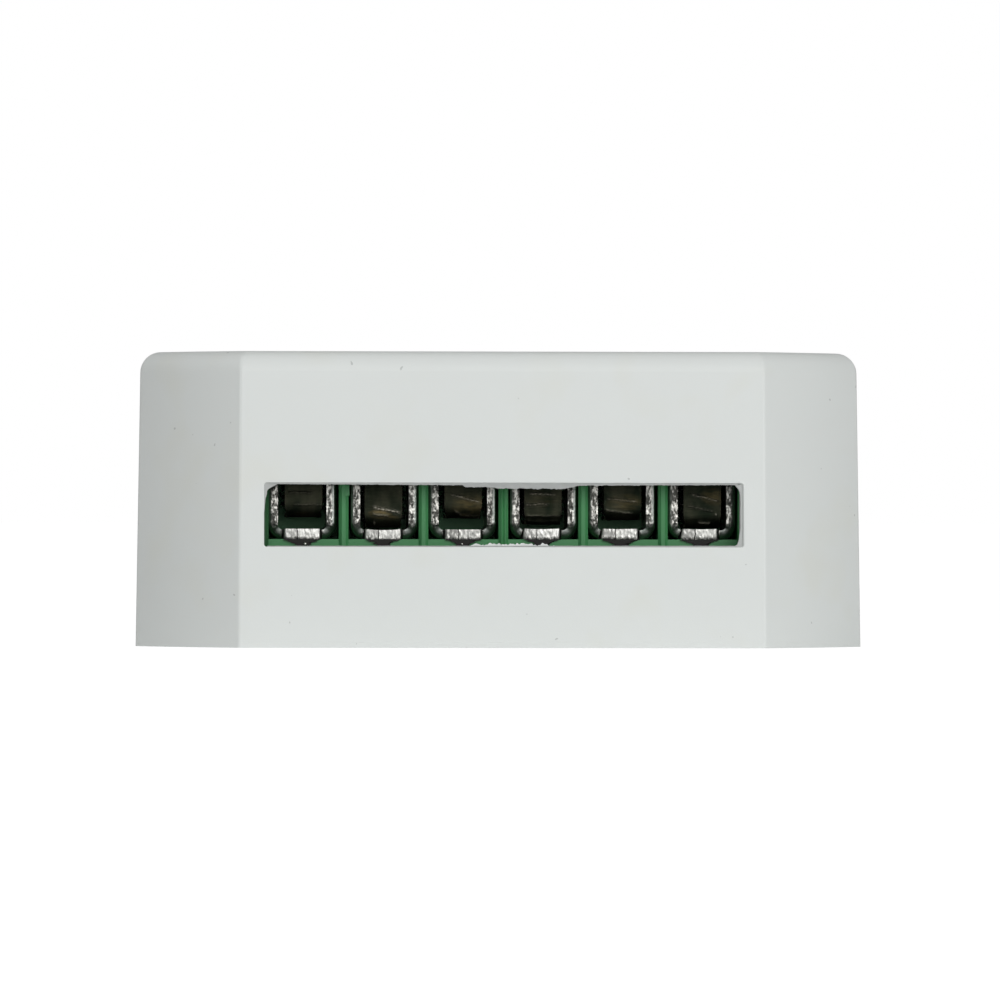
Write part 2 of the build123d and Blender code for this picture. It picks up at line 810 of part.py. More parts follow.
def make_radio():
    """The radio board, standing in the main board's slot, and its folded shield can."""
    with BuildPart() as radio_board:
        with BuildSketch(Plane.XY.offset(radio_foot)):
            with Locations((0, radio_y)):
                Rectangle(radio_width, radio_thickness)
        extrude(amount=radio_top - radio_foot)
    write_part(radio_board.part, "radio_board")

    radio_face = radio_y - radio_thickness / 2
    shield_centre = shield_foot + shield_height / 2
    with BuildPart() as radio_shield:
        with BuildSketch(front_plane(radio_face)):
            with Locations((shield_x, shield_centre)):
                Rectangle(shield_width, shield_height)
        extrude(amount=shield_depth)
        fillet(radio_shield.faces().sort_by(Axis.Y)[0].edges(), shield_sheet)
        with BuildSketch(front_plane(radio_face)):
            with Locations((shield_x, shield_centre)):
                Rectangle(shield_width - 2 * shield_sheet, shield_height - 2 * shield_sheet)
        extrude(amount=shield_depth - shield_sheet, mode=Mode.SUBTRACT)
    write_part(radio_shield.part, "radio_shield")


def lead_sections(places):
    """The sections of the round leads at their lower ends, under the board."""
    with BuildSketch(Plane.XY.offset(lead_foot)) as sections:
        with Locations(places):
            Circle(lead_radius)
    return sections.sketch


def make_can_capacitor(name, x, y, radius, height, leads):
    """An aluminium can capacitor standing on the board, with the rolled groove near its foot."""
    with BuildPart() as capacitor:
        with BuildSketch(Plane.XY.offset(board_top)):
            with Locations((x, y)):
                Circle(radius)
        extrude(amount=height)
        fillet(capacitor.edges(), bulk_groove_depth)
        with BuildSketch(Plane.XY.offset(board_top + bulk_groove_height)):
            with Locations((x, y)):
                Circle(radius)
                Circle(radius - bulk_groove_depth, mode=Mode.SUBTRACT)
        extrude(amount=2 * bulk_groove_depth, mode=Mode.SUBTRACT)
        extrude(lead_sections(leads), amount=board_top + lead_root - lead_foot)
    write_part(capacitor.part, name)


def make_power_parts():
    """The parts of the mains supply that stand on the board by their leads."""
    for number, y in enumerate(bulk_places, start=1):
        leads = bulk_leads[2 * number - 2 : 2 * number]
        make_can_capacitor(f"bulk_capacitor_{number}", bulk_x, y, bulk_radius, bulk_height, leads)
    make_can_capacitor("output_capacitor", output_x, output_y, output_radius, output_height, output_leads)

    with BuildPart() as power_choke:
        with BuildSketch(Plane.XY.offset(board_top)):
            with Locations((choke_x, choke_y)):
                Circle(choke_radius)
        extrude(amount=choke_height)
        with BuildSketch(Plane.XY.offset(board_top + choke_flange)):
            with Locations((choke_x, choke_y)):
                Circle(choke_radius)
                Circle(choke_radius - choke_waist, mode=Mode.SUBTRACT)
        extrude(amount=choke_height - 2 * choke_flange, mode=Mode.SUBTRACT)
        extrude(lead_sections(choke_leads), amount=board_top + lead_root - lead_foot)
    write_part(power_choke.part, "power_choke")

    with BuildPart() as varistor:
        varistor_centre = board_top + varistor_rise + varistor_radius
        with BuildSketch(front_plane(varistor_y - varistor_thickness / 2)):
            with Locations((varistor_x, varistor_centre)):
                Circle(varistor_radius)
        extrude(amount=-varistor_thickness)
        fillet(varistor.edges(), varistor_edge)
        extrude(lead_sections(varistor_leads), amount=varistor_centre - lead_foot)
    write_part(varistor.part, "varistor")

    with BuildPart() as film_capacitor:
        with BuildSketch(Plane.XY.offset(board_top)):
            with Locations((film_x, film_y)):
                Rectangle(film_width, film_depth)
        extrude(amount=film_height)
        chamfer(film_capacitor.faces().sort_by(Axis.Z)[-1].edges(), film_edge)
        extrude(lead_sections(film_leads), amount=board_top + lead_root - lead_foot)
    write_part(film_capacitor.part, "film_capacitor")

    with BuildPart() as fuse_resistor:
        fuse_axis = board_top + fuse_rise + fuse_radius
        with BuildSketch(across_plane(fuse_x - fuse_length / 2)):
            with Locations((fuse_y, fuse_axis)):
                Circle(fuse_radius)
        extrude(amount=fuse_length)
        fillet(fuse_resistor.edges().filter_by(GeomType.CIRCLE), fuse_edge)
        with BuildSketch(across_plane(fuse_leads[0][0])):
            with Locations((fuse_y, fuse_axis)):
                Circle(lead_radius)
        extrude(amount=fuse_leads[1][0] - fuse_leads[0][0])
        extrude(lead_sections(fuse_leads), amount=fuse_axis - lead_foot)
    write_part(fuse_resistor.part, "fuse_resistor")


def make_chip(name, place, size, lead_pitch):
    """A surface-mounted package with a row of gull-wing leads along each long side."""
    x, y = place
    length, depth, height = size
    lead_count = round(length / lead_pitch)
    with BuildPart() as chip:
        with BuildSketch(Plane.XY.offset(board_top + chip_standoff)):
            with Locations((x, y)):
                Rectangle(length, depth)
        extrude(amount=height - chip_standoff)
        chamfer(chip.faces().sort_by(Axis.Z)[-1].edges(), chip_standoff)
        for side in (-1, 1):
            row_y = y + side * (depth + chip_lead_reach) / 2
            with BuildSketch(Plane.XY.offset(board_top)):
                with Locations(place_row(x, row_y, lead_pitch, lead_count)):
                    Rectangle(chip_lead_width, chip_lead_reach)
            extrude(amount=chip_lead_thickness)
    write_part(chip.part, name)


def make_small_parts(name, places, length, depth, height):
    """A group of like small parts, each a separate solid on the board."""
    with BuildPart() as group:
        with BuildSketch(Plane.XY.offset(board_top)):
            with Locations(places):
                Rectangle(length, depth)
        extrude(amount=height)
    write_part(group.part, name)


def make_solder_joints():
    """The solder cones under the board, one round each pin and lead."""
    tip = board_underside - solder_height
    with BuildPart() as solder_joints:
        for x, y in clamp_pins + round_leads:
            with BuildSketch(Plane.XY.offset(board_underside)):
                with Locations((x, y)):
                    Circle(solder_radius)
            with BuildSketch(Plane.XY.offset(tip)):
                with Locations((x, y)):
                    Circle(solder_tip_radius)
            loft()
        with BuildSketch(Plane.XY.offset(tip)):
            with Locations(clamp_pins):
                Rectangle(pin_width, pin_thickness)
            with Locations(round_leads):
                Circle(lead_radius)
        extrude(amount=solder_height, mode=Mode.SUBTRACT)
    write_part(solder_joints.part, "solder_joints")


make_top_shell()
make_base_cover()
make_blank_label()
make_main_board()
make_terminal_block("terminal_block_left", -1)
make_terminal_block("terminal_block_right", 1)
for way_number, (way_x, way_gap) in enumerate(zip(way_places, guard_gaps), start=1):
    make_wire_clamp(way_number, way_x)
    make_wire_guard(way_number, way_x, way_gap)
    make_terminal_screw(way_number, way_x, way_gap)
make_button_cap()
make_switch()
make_status_light()
make_radio()
make_power_parts()
bridge_size = (bridge_length, bridge_depth, bridge_height)
make_chip("bridge_rectifier", (bridge_x, bridge_y), bridge_size, bridge_lead_pitch)
small_chip_size = (small_chip_length, small_chip_depth, small_chip_height)
make_chip("converter_chip", (small_chip_x, small_chip_y), small_chip_size, chip_lead_pitch)
meter_chip_size = (meter_chip_length, small_chip_depth, meter_chip_height)
make_chip("meter_chip", (meter_chip_x, meter_chip_y), meter_chip_size, chip_lead_pitch)
crystal_places = [(small_chip_x, crystal_y)]
make_small_parts("timing_crystal", crystal_places, crystal_length, crystal_depth, crystal_height)
make_small_parts("chip_resistors", resistor_places, resistor_length, resistor_depth, resistor_height)
make_small_parts("chip_capacitors", capacitor_places, capacitor_length, capacitor_depth, capacitor_height)
make_solder_joints()

for way_number, (down, up) in enumerate(travels, start=1):
    print(f"way {way_number}: travel {down:.3f} to {up:.3f} mm")
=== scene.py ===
# %% [markdown]
# # A flush-mounting energy meter
#
# The real object is a small white box for a wall box. Its corners are cut by one round wall, and a
# window in its front shows six screw terminals in green housings. The packed CAD model comes in as a
# fixed frame. This lesson dresses it: materials for every CAD node, and new meshes for the small metal
# parts that the camera sees up close.

import json
from functools import cached_property
from itertools import product
from math import ceil, cos, pi, radians, sin, sqrt, tau

import bmesh
import bpy
from mathutils import Matrix, Vector, noise


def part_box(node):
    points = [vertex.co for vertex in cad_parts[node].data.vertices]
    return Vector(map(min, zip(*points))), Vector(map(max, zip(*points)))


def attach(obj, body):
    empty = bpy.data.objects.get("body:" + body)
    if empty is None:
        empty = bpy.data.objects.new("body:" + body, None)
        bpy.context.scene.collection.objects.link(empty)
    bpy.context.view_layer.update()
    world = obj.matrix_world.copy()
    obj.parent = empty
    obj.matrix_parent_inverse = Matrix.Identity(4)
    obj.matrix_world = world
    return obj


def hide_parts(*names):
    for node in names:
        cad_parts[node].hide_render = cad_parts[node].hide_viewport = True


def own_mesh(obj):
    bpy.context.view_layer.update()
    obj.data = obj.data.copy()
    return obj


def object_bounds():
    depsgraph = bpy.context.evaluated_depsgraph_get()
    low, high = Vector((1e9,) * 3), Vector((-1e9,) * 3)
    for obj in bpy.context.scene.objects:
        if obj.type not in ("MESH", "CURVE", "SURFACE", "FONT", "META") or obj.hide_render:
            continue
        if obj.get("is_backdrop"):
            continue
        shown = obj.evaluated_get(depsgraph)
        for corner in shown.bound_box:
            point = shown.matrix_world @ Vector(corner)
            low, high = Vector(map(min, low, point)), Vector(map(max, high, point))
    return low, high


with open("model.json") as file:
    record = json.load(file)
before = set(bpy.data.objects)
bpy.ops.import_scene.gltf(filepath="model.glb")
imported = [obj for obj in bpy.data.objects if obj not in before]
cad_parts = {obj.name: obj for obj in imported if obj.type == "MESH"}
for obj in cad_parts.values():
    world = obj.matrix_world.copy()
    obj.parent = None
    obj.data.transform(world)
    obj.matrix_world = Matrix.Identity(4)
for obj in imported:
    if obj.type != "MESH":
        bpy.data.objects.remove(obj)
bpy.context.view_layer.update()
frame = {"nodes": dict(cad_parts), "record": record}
MM = 0.001

# %% [markdown]
# ## Camera
#
# The photograph is taken from far away on a long lens, level with the middle of the case. It isn't quite
# square to the front: the left corner shows wider than the right one, so the camera stands two degrees
# to the left, and the case also leans a little in the picture. Placing the camera by numbers, and not by
# a helper, keeps the case at the size and place that it has in the photograph.

# %% Camera
scene = bpy.context.scene
scene.view_settings.view_transform = "Standard"

CAMERA_DISTANCE = 600 * MM
CAMERA_HEIGHT = 9.225 * MM
CAMERA_LEFT = radians(2.067)
CAMERA_AIM = radians(0.0655)  # the aim passes a little to the right of the case's middle
CAMERA_LEAN = radians(0.091)
CAMERA_LENS = 333.5

camera = bpy.data.objects.new("camera", bpy.data.cameras.new("camera"))
camera.location = (-CAMERA_DISTANCE * sin(CAMERA_LEFT), -CAMERA_DISTANCE * cos(CAMERA_LEFT), CAMERA_HEIGHT)
camera.rotation_euler = (radians(90), -CAMERA_LEAN, -CAMERA_LEFT - CAMERA_AIM)
camera.data.lens = CAMERA_LENS
camera.data.clip_start = 0.01
scene.collection.objects.link(camera)
scene.camera = camera
print("camera at", tuple(round(v, 4) for v in camera.location))

# %% [markdown]
# ## Lamps
#
# The front and the right corner are evenly bright, and the left corner falls off towards its edge, so
# the lamps are large soft boxes from the middle to the right, a little above. One more, overhead and to
# the left, lights the roof and its rounded edge. Their strengths add up to a level at which a colour
# renders about as written.


# %% Soft boxes
LAMP_DISTANCE = 0.9
LAMP_SIZE = 0.5


def add_soft_box(name, azimuth, elevation, power):
    """A square lamp that looks at the case. Azimuth 0 is the camera's side, 90 is to its right."""
    lamp = bpy.data.objects.new(name, bpy.data.lights.new(name, "AREA"))
    around, above = radians(azimuth), radians(elevation)
    away = Vector((sin(around) * cos(above), -cos(around) * cos(above), sin(above)))
    lamp.location = away * LAMP_DISTANCE
    lamp.rotation_euler = away.to_track_quat("Z", "Y").to_euler()
    lamp.data.size = LAMP_SIZE
    lamp.data.energy = power
    scene.collection.objects.link(lamp)


add_soft_box("front_light", azimuth=0, elevation=15, power=1.8)
add_soft_box("right_light", azimuth=30, elevation=15, power=2.75)
add_soft_box("top_light", azimuth=-60, elevation=65, power=1.6)

# %% [markdown]
# ## A small language for materials
#
# A material is a graph of nodes. To read like maths, each value in the graph is wrapped in a Signal,
# and Python's operators on a Signal add Math nodes. Graph has one method, add, that makes any other
# node from a type, its settings and its inputs, and Finish is the graph of one material.


# %% Signal, Graph and Finish
finishes = {}


def operator(operation, swapped=False):
    """A Python operator that adds a Math node to the graph of its Signal."""

    def method(signal, *others):
        values = [signal, *others]
        if swapped:
            values.reverse()
        return signal.graph.add("ShaderNodeMath", {"operation": operation}, dict(enumerate(values)))

    return method


class Signal:
    """A value somewhere in a graph. Arithmetic on it adds Math nodes."""

    def __init__(self, graph, socket):
        self.graph = graph
        self.socket = socket

    __add__, __radd__ = operator("ADD"), operator("ADD", swapped=True)
    __sub__, __rsub__ = operator("SUBTRACT"), operator("SUBTRACT", swapped=True)
    __mul__, __rmul__ = operator("MULTIPLY"), operator("MULTIPLY", swapped=True)
    __truediv__, __rtruediv__ = operator("DIVIDE"), operator("DIVIDE", swapped=True)
    __mod__, __abs__ = operator("FLOORED_MODULO"), operator("ABSOLUTE")
    __gt__, __lt__, __or__ = operator("GREATER_THAN"), operator("LESS_THAN"), operator("MAXIMUM")


class Graph:
    """The nodes of one material or world."""

    def __init__(self, tree):
        self.tree = tree

    def feed(self, node, inputs):
        """Gives values or links to a node's sockets."""
        for name, value in inputs.items():
            if isinstance(value, Signal):
                self.tree.links.new(value.socket, node.inputs[name])
            else:
                node.inputs[name].default_value = value

    def add(self, kind, settings=None, inputs=None, output=0):
        """Adds a node of any type: its settings first, then the values or links of its sockets."""
        node = self.tree.nodes.new(kind)
        for name, value in (settings or {}).items():
            if name == "stops":
                ramp = node.color_ramp.elements
                while len(ramp) < len(value):
                    ramp.new(1.0)
                for element, (position, shade) in zip(ramp, value):
                    element.position = position
                    element.color = (shade, shade, shade, 1)
            else:
                setattr(node, name, value)
        self.feed(node, inputs or {})
        return Signal(self, node.outputs[output])


class Finish(Graph):
    """One material around a Principled shader. Its name is the record's slot."""

    def __init__(self, slot, **constants):
        material = finishes[slot] = bpy.data.materials.new(slot)
        material.use_nodes = True
        super().__init__(material.node_tree)
        self.shader = self.tree.nodes["Principled BSDF"]
        self.set(**constants)

    def set(self, **inputs):
        """Feeds the shader's own sockets. Base_Color here is its Base Color."""
        self.feed(self.shader, {name.replace("_", " "): value for name, value in inputs.items()})

    @cached_property
    def place(self):
        """Where a point of the surface is, in millimetres of the shared frame."""
        metres = self.add("ShaderNodeTexCoord", output="Object")
        return self.add("ShaderNodeVectorMath", {"operation": "SCALE"}, {0: metres, "Scale": 1 / MM})

    def axes(self, vector):
        """The three numbers of a vector."""
        split = self.add("ShaderNodeSeparateXYZ", inputs={0: vector})
        return [Signal(self, socket) for socket in split.socket.node.outputs]

    def vector(self, operation, first, second, output=0):
        """Maths on whole vectors."""
        return self.add("ShaderNodeVectorMath", {"operation": operation}, {0: first, 1: second}, output)

    def share(self):
        """Where a point lies in its own object's box, from 0 to 1 along each axis."""
        return self.add("ShaderNodeTexCoord", output="Generated")

    def stored(self, mark):
        """A number that the mesh stores at each point under this name."""
        return self.add("ShaderNodeAttribute", {"attribute_name": mark}, output="Fac")

    def noise(self, scale, detail=2.0, stretch=None):
        """Soft noise between 0 and 1, with scale lumps to each millimetre, times stretch along each axis."""
        where = self.vector("MULTIPLY", self.place, stretch) if stretch else self.place
        return self.add("ShaderNodeTexNoise", {}, {"Vector": where, "Scale": scale, "Detail": detail})

    def ramp(self, value, *stops):
        """A value sent through straight stretches between (position, shade) stops."""
        return self.add("ShaderNodeValToRGB", {"stops": stops}, {0: value})

    def mix(self, factor, first, second):
        """A blend of two colours. A colour is three numbers or a Signal."""
        first, second = [colour if isinstance(colour, Signal) else (*colour, 1) for colour in (first, second)]
        return self.add("ShaderNodeMix", {"data_type": "RGBA"}, {0: factor, 6: first, 7: second}, output=2)

    def wander(self, value, colour, spread):
        """A colour that is darker by the share spread where value is 0, and lighter where it is 1."""
        return self.mix(value, shade(colour, 1 - spread), shade(colour, 1 + spread))

    def bump(self, height, depth):
        """Raises the surface by height, where 1 is depth millimetres."""
        self.set(Normal=self.add("ShaderNodeBump", {}, {"Distance": depth * MM, "Height": height}))


def shade(colour, factor):
    """A colour made lighter or darker."""
    return tuple(min(1.0, part * factor) for part in colour)


print("a Finish can", [name for name in vars(Finish) if not name.startswith("_")])

# %% [markdown]
# ## The floor and the background
#
# The photograph is cut out on pure white. The camera therefore sees white in the world and mostly white
# in the floor. The rest of the floor's look is ordinary pale paint, so the case still drops a faint
# shadow on it. Every other ray meets a dimmer fill, which is all the light that the background gives.


# %% Stage
WHITE = (1, 1, 1, 1)
WORLD_FILL = 0.27
FLOOR_PAINT = (0.9, 0.9, 0.9, 1)
FLOOR_SHADOW = 0.12  # share of the floor's look that takes light and shadow
FLOOR_GLOW = 1.11  # makes up for that share where nothing shades the floor
FLOOR_SIZE = 6.0
FLOOR_DROP = 0.00002  # keeps the floor and the case's flat foot from sharing one plane


def end_for_camera(graph, usual, seen, output, share=1.0):
    """Ends a graph: the camera's own rays meet the shader seen, by a share, and others the usual one."""
    factor = graph.add("ShaderNodeLightPath", output="Is Camera Ray")
    if share < 1:
        factor = factor * share
    blend = graph.add("ShaderNodeMixShader", inputs={0: factor, 1: usual, 2: seen})
    graph.feed(graph.tree.nodes[output], {"Surface": blend})


world = bpy.data.worlds.new("studio")
world.use_nodes = True
scene.world = world
sky = Graph(world.node_tree)
fill = sky.tree.nodes["Background"]
sky.feed(fill, {"Color": WHITE, "Strength": WORLD_FILL})
white = sky.add("ShaderNodeBackground", inputs={"Color": WHITE, "Strength": 1.0})
end_for_camera(sky, Signal(sky, fill.outputs[0]), white, "World Output")

paint = Finish("floor_paint", Base_Color=FLOOR_PAINT, Roughness=0.9)
glow = paint.add("ShaderNodeEmission", inputs={"Strength": FLOOR_GLOW})
end_for_camera(paint, Signal(paint, paint.shader.outputs[0]), glow, "Material Output", 1 - FLOOR_SHADOW)

floor_mesh = bpy.data.meshes.new("floor")
half = FLOOR_SIZE / 2
corners = [(x * half, y * half, -FLOOR_DROP) for x, y in ((-1, -1), (1, -1), (1, 1), (-1, 1))]
floor_mesh.from_pydata(corners, [], [(0, 1, 2, 3)])
floor_mesh.materials.append(finishes["floor_paint"])
floor = bpy.data.objects.new("floor", floor_mesh)
scene.collection.objects.link(floor)
floor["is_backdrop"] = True
print("floor:", FLOOR_SIZE, "m wide")

# %% [markdown]
# ## Moulded plastics
#
# The case is a fine satin moulding in a cool white. It isn't one flat colour: the melt leaves soft
# clouds, and dust leaves a speck here and there. Where flash is thin, its colour is painted darker as
# painted shade for the dark behind it; the mesh marks that in an attribute. The same recipe, with other
# colours, grain and marks, serves the green housings, whose left end wall is painted in shade, the
# button and the switch.


# %% Plastics
def mould(slot, colour, roughness, grain, cloud=0.02, sheen=0.45, marks=None):
    """A moulded plastic: clouds in the colour, satin grain on the surface, and what marks adds."""
    finish = Finish(slot, Specular_IOR_Level=sheen)
    tone = finish.wander(finish.noise(0.12, 3), colour, cloud)
    if marks:
        tone = marks(finish, tone)
    grit = finish.noise(1 / grain, 2)
    finish.set(Base_Color=tone, Roughness=roughness + (grit - 0.5) * 0.12)
    finish.bump(grit, grain * 0.04)


CASE_COLOUR = (0.700, 0.728, 0.712)
HANDLED_COLOUR = (0.686, 0.703, 0.655)
GREEN_COLOUR = (0.055, 0.235, 0.085)
# painted shade: the shaded green of the left end wall's front, behind the window's edge
PAINTED_SHADE_GREEN = (0.012, 0.022, 0.013)
SPECK_SCALE = 2.6
SPECK_LEVEL = 0.882
END_WALLS = 14.5  # millimetres from the case's middle


def case_marks(finish, tone):
    """A faint warm bloom where hands have been, dust specks, and painted shade on thin flash."""
    handled = finish.ramp(finish.noise(0.22, 2), (0.55, 0.0), (0.72, 0.5))
    dust = finish.noise(SPECK_SCALE, 0) > SPECK_LEVEL
    tone = finish.mix(dust * 0.45, finish.mix(handled, tone, HANDLED_COLOUR), shade(CASE_COLOUR, 0.4))
    # painted shade: flash marked thin is darkened, for the dark behind it
    return finish.mix(finish.stored("thin"), tone, shade(CASE_COLOUR, 0.5))


def housing_painted_shade(finish, tone):
    """Painted shade: darkens the left end wall's front, behind the window's edge, to a shaded green."""
    x, y, z = finish.axes(finish.place)
    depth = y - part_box("terminal_block_left")[0].y / MM
    left = finish.ramp((-END_WALLS - x) / 0.1, (0.0, 0.0), (1.0, 0.65))
    shallow = finish.ramp(depth / 2, (0.4, 1.0), (0.8, 0.0))
    return finish.mix(left * shallow, tone, PAINTED_SHADE_GREEN)


mould("case_white", CASE_COLOUR, roughness=0.46, grain=0.09, cloud=0.012, marks=case_marks)
mould("button_white", CASE_COLOUR, roughness=0.4, grain=0.06, cloud=0.01)
mould("terminal_green", GREEN_COLOUR, roughness=0.4, grain=0.12, cloud=0.08, sheen=0.3, marks=housing_painted_shade)
mould("switch_black", (0.02, 0.02, 0.021), roughness=0.45, grain=0.05, cloud=0.1)
print("plastics:", list(finishes))

# %% [markdown]
# ## Metals
#
# Tin plate, zinc plate and stamped steel are all bright metals whose roughness and tone wander a
# little. Rolled sheet also has fine lines along one way, which come from noise that is stretched.


# %% Metals
def plate(slot, colour, roughness, stretch=None, spread=0.12, depth=0.002):
    """A bright metal with wandering tone, and with lines where stretch differs between axes."""
    finish = Finish(slot, Metallic=1.0)
    lines = finish.noise(6, 3, stretch)
    tone = finish.wander(finish.noise(0.8, 2), colour, spread)
    finish.set(Base_Color=tone, Roughness=roughness + (lines - 0.5) * 0.2)
    finish.bump(lines, depth)


TIN = (0.70, 0.69, 0.66)
plate("screw_zinc", (0.62, 0.62, 0.60), roughness=0.28)
plate("spring_steel", (0.55, 0.55, 0.55), roughness=0.3, stretch=(0.2, 4, 4))
plate("shield_steel", (0.62, 0.62, 0.60), roughness=0.33, stretch=(0.15, 3, 3))
plate("solder_tin", TIN, roughness=0.22, spread=0.08, depth=0.01)
print("metals:", list(finishes)[-4:])

# %% [markdown]
# ## The clamp's sheared ends
#
# The strip that makes a clamp is punched from tinned steel. Its faces are smooth tin, with a green tint
# that is a painted reflection of the housings. Where the punch cut it, one side of the cut is burnished
# and the other is torn to a crumbly grey. The cut of the tab is brighter, with fine upright lines. The pin
# below it and the relief cuts beside it are painted black, for solder flux and as painted shade. The mesh
# stores how torn, how much tab, and how much flux and painted shade each point is, as attributes, and the
# material reads them.


# %% Tinned strip
# The smooth tin's green tint is a painted reflection of the green housings.
SMOOTH_TIN_GREEN_REFLECTION = (0.18, 0.21, 0.19), (0.36, 0.37, 0.35)
TORN_GREYS = (0.02, 0.02, 0.018), (0.10, 0.10, 0.09), (0.60, 0.59, 0.55)
TAB_TIN = (0.40, 0.40, 0.38), (0.66, 0.66, 0.63)
# black for solder flux and for painted shade: the film under each tab, the pins and the relief cuts
FLUX_AND_SHADE_BLACK = (0.010, 0.009, 0.008)


def tin_strip():
    """Smooth tin plate with a painted green reflection, crumbly torn cuts, a bright lined tab, and black for
    flux and painted shade.
    """
    finish = Finish("clamp_tinned")
    torn, tab, stain = [finish.stored(mark) for mark in ("torn", "tab", "stain")]
    crumbs = finish.noise(5.5, 3, (1.2, 1, 0.6))
    lines = finish.noise(1, 3, (9, 3, 3))
    patches = finish.noise(1.6, 3)
    pits, pale, crumb = TORN_GREYS
    crumbly = finish.ramp(crumbs, (0.47, 0.0), (0.61, 1.0))
    torn_tone = finish.mix(crumbly, finish.mix(patches, pits, pale), crumb)
    tab_tone = finish.mix(finish.ramp(lines, (0.30, 0.0), (0.55, 1.0)), *TAB_TIN)
    tone = finish.mix(tab, finish.mix(torn, finish.mix(patches, *SMOOTH_TIN_GREEN_REFLECTION), torn_tone), tab_tone)
    finish.set(
        Base_Color=finish.mix(stain, tone, FLUX_AND_SHADE_BLACK),
        Metallic=1 - stain * 0.8,
        Roughness=0.30 + torn * 0.08 + stain * 0.4,
    )
    finish.bump((crumbs * (1 - tab) + lines * tab * 0.35) * (torn + 0.12), 0.045)


tin_strip()
print("tinned strip reads:", ["torn", "tab", "stain"])

# %% [markdown]
# ## The dark leaf
#
# Behind the clamp's mouth hangs a bronze leaf that keeps the screw off the wire. Its colour is painted
# nearly black, as painted shade deep in the cell, with brass-brown patches of painted sheen, and painted
# glints along the crests of its creases.


# %% Leaf bronze
# nearly black: painted shade of the deep cell
PAINTED_SHADE_BRONZE = (0.010, 0.014, 0.009), (0.032, 0.033, 0.022)
# brass-brown: painted sheen where the bent leaf reflects
PAINTED_SHEEN_BRASS = (0.14, 0.105, 0.045)
# bright bronze: painted glint along the crests
PAINTED_GLINT_BRONZE = (0.60, 0.56, 0.46)


def leaf_bronze():
    """Bronze painted nearly black as shade, with patches of painted sheen and painted glints on crests, which
    the mesh marks in attributes.
    """
    finish = Finish("guard_bronze", Metallic=1.0)
    drawn = finish.noise(2.2, 4, (0.4, 3, 6))
    crumbs = finish.noise(9, 3, (0.7, 1, 1.6))
    patches = finish.ramp(finish.noise(0.9, 2, (1.2, 1, 0.5)), (0.35, 0.0), (0.65, 1.0))
    sheen_breakup = finish.ramp(finish.noise(1.6, 4, (1, 2, 3)), (0.34, 0.1), (0.62, 1.0))
    brass = finish.mix(finish.stored("rubbed") * sheen_breakup, finish.mix(patches, *PAINTED_SHADE_BRONZE), PAINTED_SHEEN_BRASS)
    shine = finish.stored("crest") * finish.ramp(crumbs, (0.42, 0.15), (0.60, 1.0))
    finish.set(Base_Color=finish.mix(shine, brass, PAINTED_GLINT_BRONZE), Roughness=0.5 + (drawn - 0.5) * 0.25)
    finish.bump(drawn, 0.02)


leaf_bronze()
print("leaf bronze reads:", ["crest", "rubbed"])

# %% [markdown]
# ## Circuit boards
#
# A board is woven glass under a coat of solder mask. The mask is lighter over the copper tracks, which
# run square to each other, and the sawn edge shows the bare laminate.


# %% Boards
TRACK_STEP = 0.6
CELLS_PER_MM = 0.22
LAMINATE = (0.30, 0.27, 0.12), (0.42, 0.38, 0.20)


def circuit_board(slot, mask, track, upright=0):
    """Solder mask over square tracks, with a tan sawn edge. An upright board faces along y as well as up."""
    finish = Finish(slot, Specular_IOR_Level=0.5)
    squares = finish.vector("SNAP", finish.place, (TRACK_STEP, TRACK_STEP, TRACK_STEP))
    edges = {"feature": "DISTANCE_TO_EDGE"}
    borders = finish.add("ShaderNodeTexVoronoi", edges, {"Vector": squares, "Scale": CELLS_PER_MM})
    on_track = finish.ramp(borders, (0.05, 1.0), (0.09, 0.0))
    facing = finish.axes(finish.add("ShaderNodeNewGeometry", output="Normal"))
    face = finish.ramp(abs(facing[2]) + abs(facing[1]) * upright, (0.4, 0.0), (0.6, 1.0))
    weave = finish.noise(1, 1, (6, 6, 1))
    finish.set(
        Base_Color=finish.mix(face, finish.mix(weave, *LAMINATE), finish.mix(on_track, mask, track)),
        Roughness=0.55 - face * 0.25 + (weave - 0.5) * 0.1,
    )
    finish.bump(on_track + weave * 0.3, 0.03)


circuit_board("board_green", mask=(0.008, 0.085, 0.028), track=(0.02, 0.17, 0.06))
circuit_board("radio_blue", mask=(0.006, 0.012, 0.07), track=(0.015, 0.03, 0.15), upright=1)
print("boards:", list(finishes)[-2:])

# %% [markdown]
# ## Parts with metal ends
#
# Most parts on the board are a body of one material with leads or end caps of tin. One CAD node holds
# both, so the material itself tells them apart by where a point is, in millimetres of the frame.


# %% Bodies and their leads
BOARD_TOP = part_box("terminal_block_left")[0].z / MM
TIN_ROUGHNESS = 0.26
LEAD_SHARE = 0.342
FUSE_HALF = 4.0


def bodied(slot, body, metal, roughness=0.4, spread=0.1, detail=None, depth=0.004):
    """A body with tinned metal where metal(finish, x, z) says 1. Detail may recolour the body."""
    finish = Finish(slot)
    x, y, z = finish.axes(finish.place)
    tone = finish.wander(finish.noise(1.1, 3), body, spread)
    if detail:
        tone = detail(finish, tone, z)
    tinned = metal(finish, x, z)
    grit = finish.noise(8, 2)
    finish.set(
        Base_Color=finish.mix(tinned, tone, TIN),
        Metallic=tinned,
        Roughness=roughness + (TIN_ROUGHNESS - roughness) * tinned + (grit - 0.5) * 0.1,
    )
    finish.bump(grit, depth)


def under_board(finish, x, z):
    """Leads show below the top of the board."""
    return z < BOARD_TOP


def row_ends(node, length, spacing, cap):
    """Both ends of each like part in a row along x."""
    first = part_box(node)[0].x / MM

    def metal(finish, x, z):
        along = (x - first) % spacing
        return abs(along - length / 2) > length / 2 - cap

    return metal


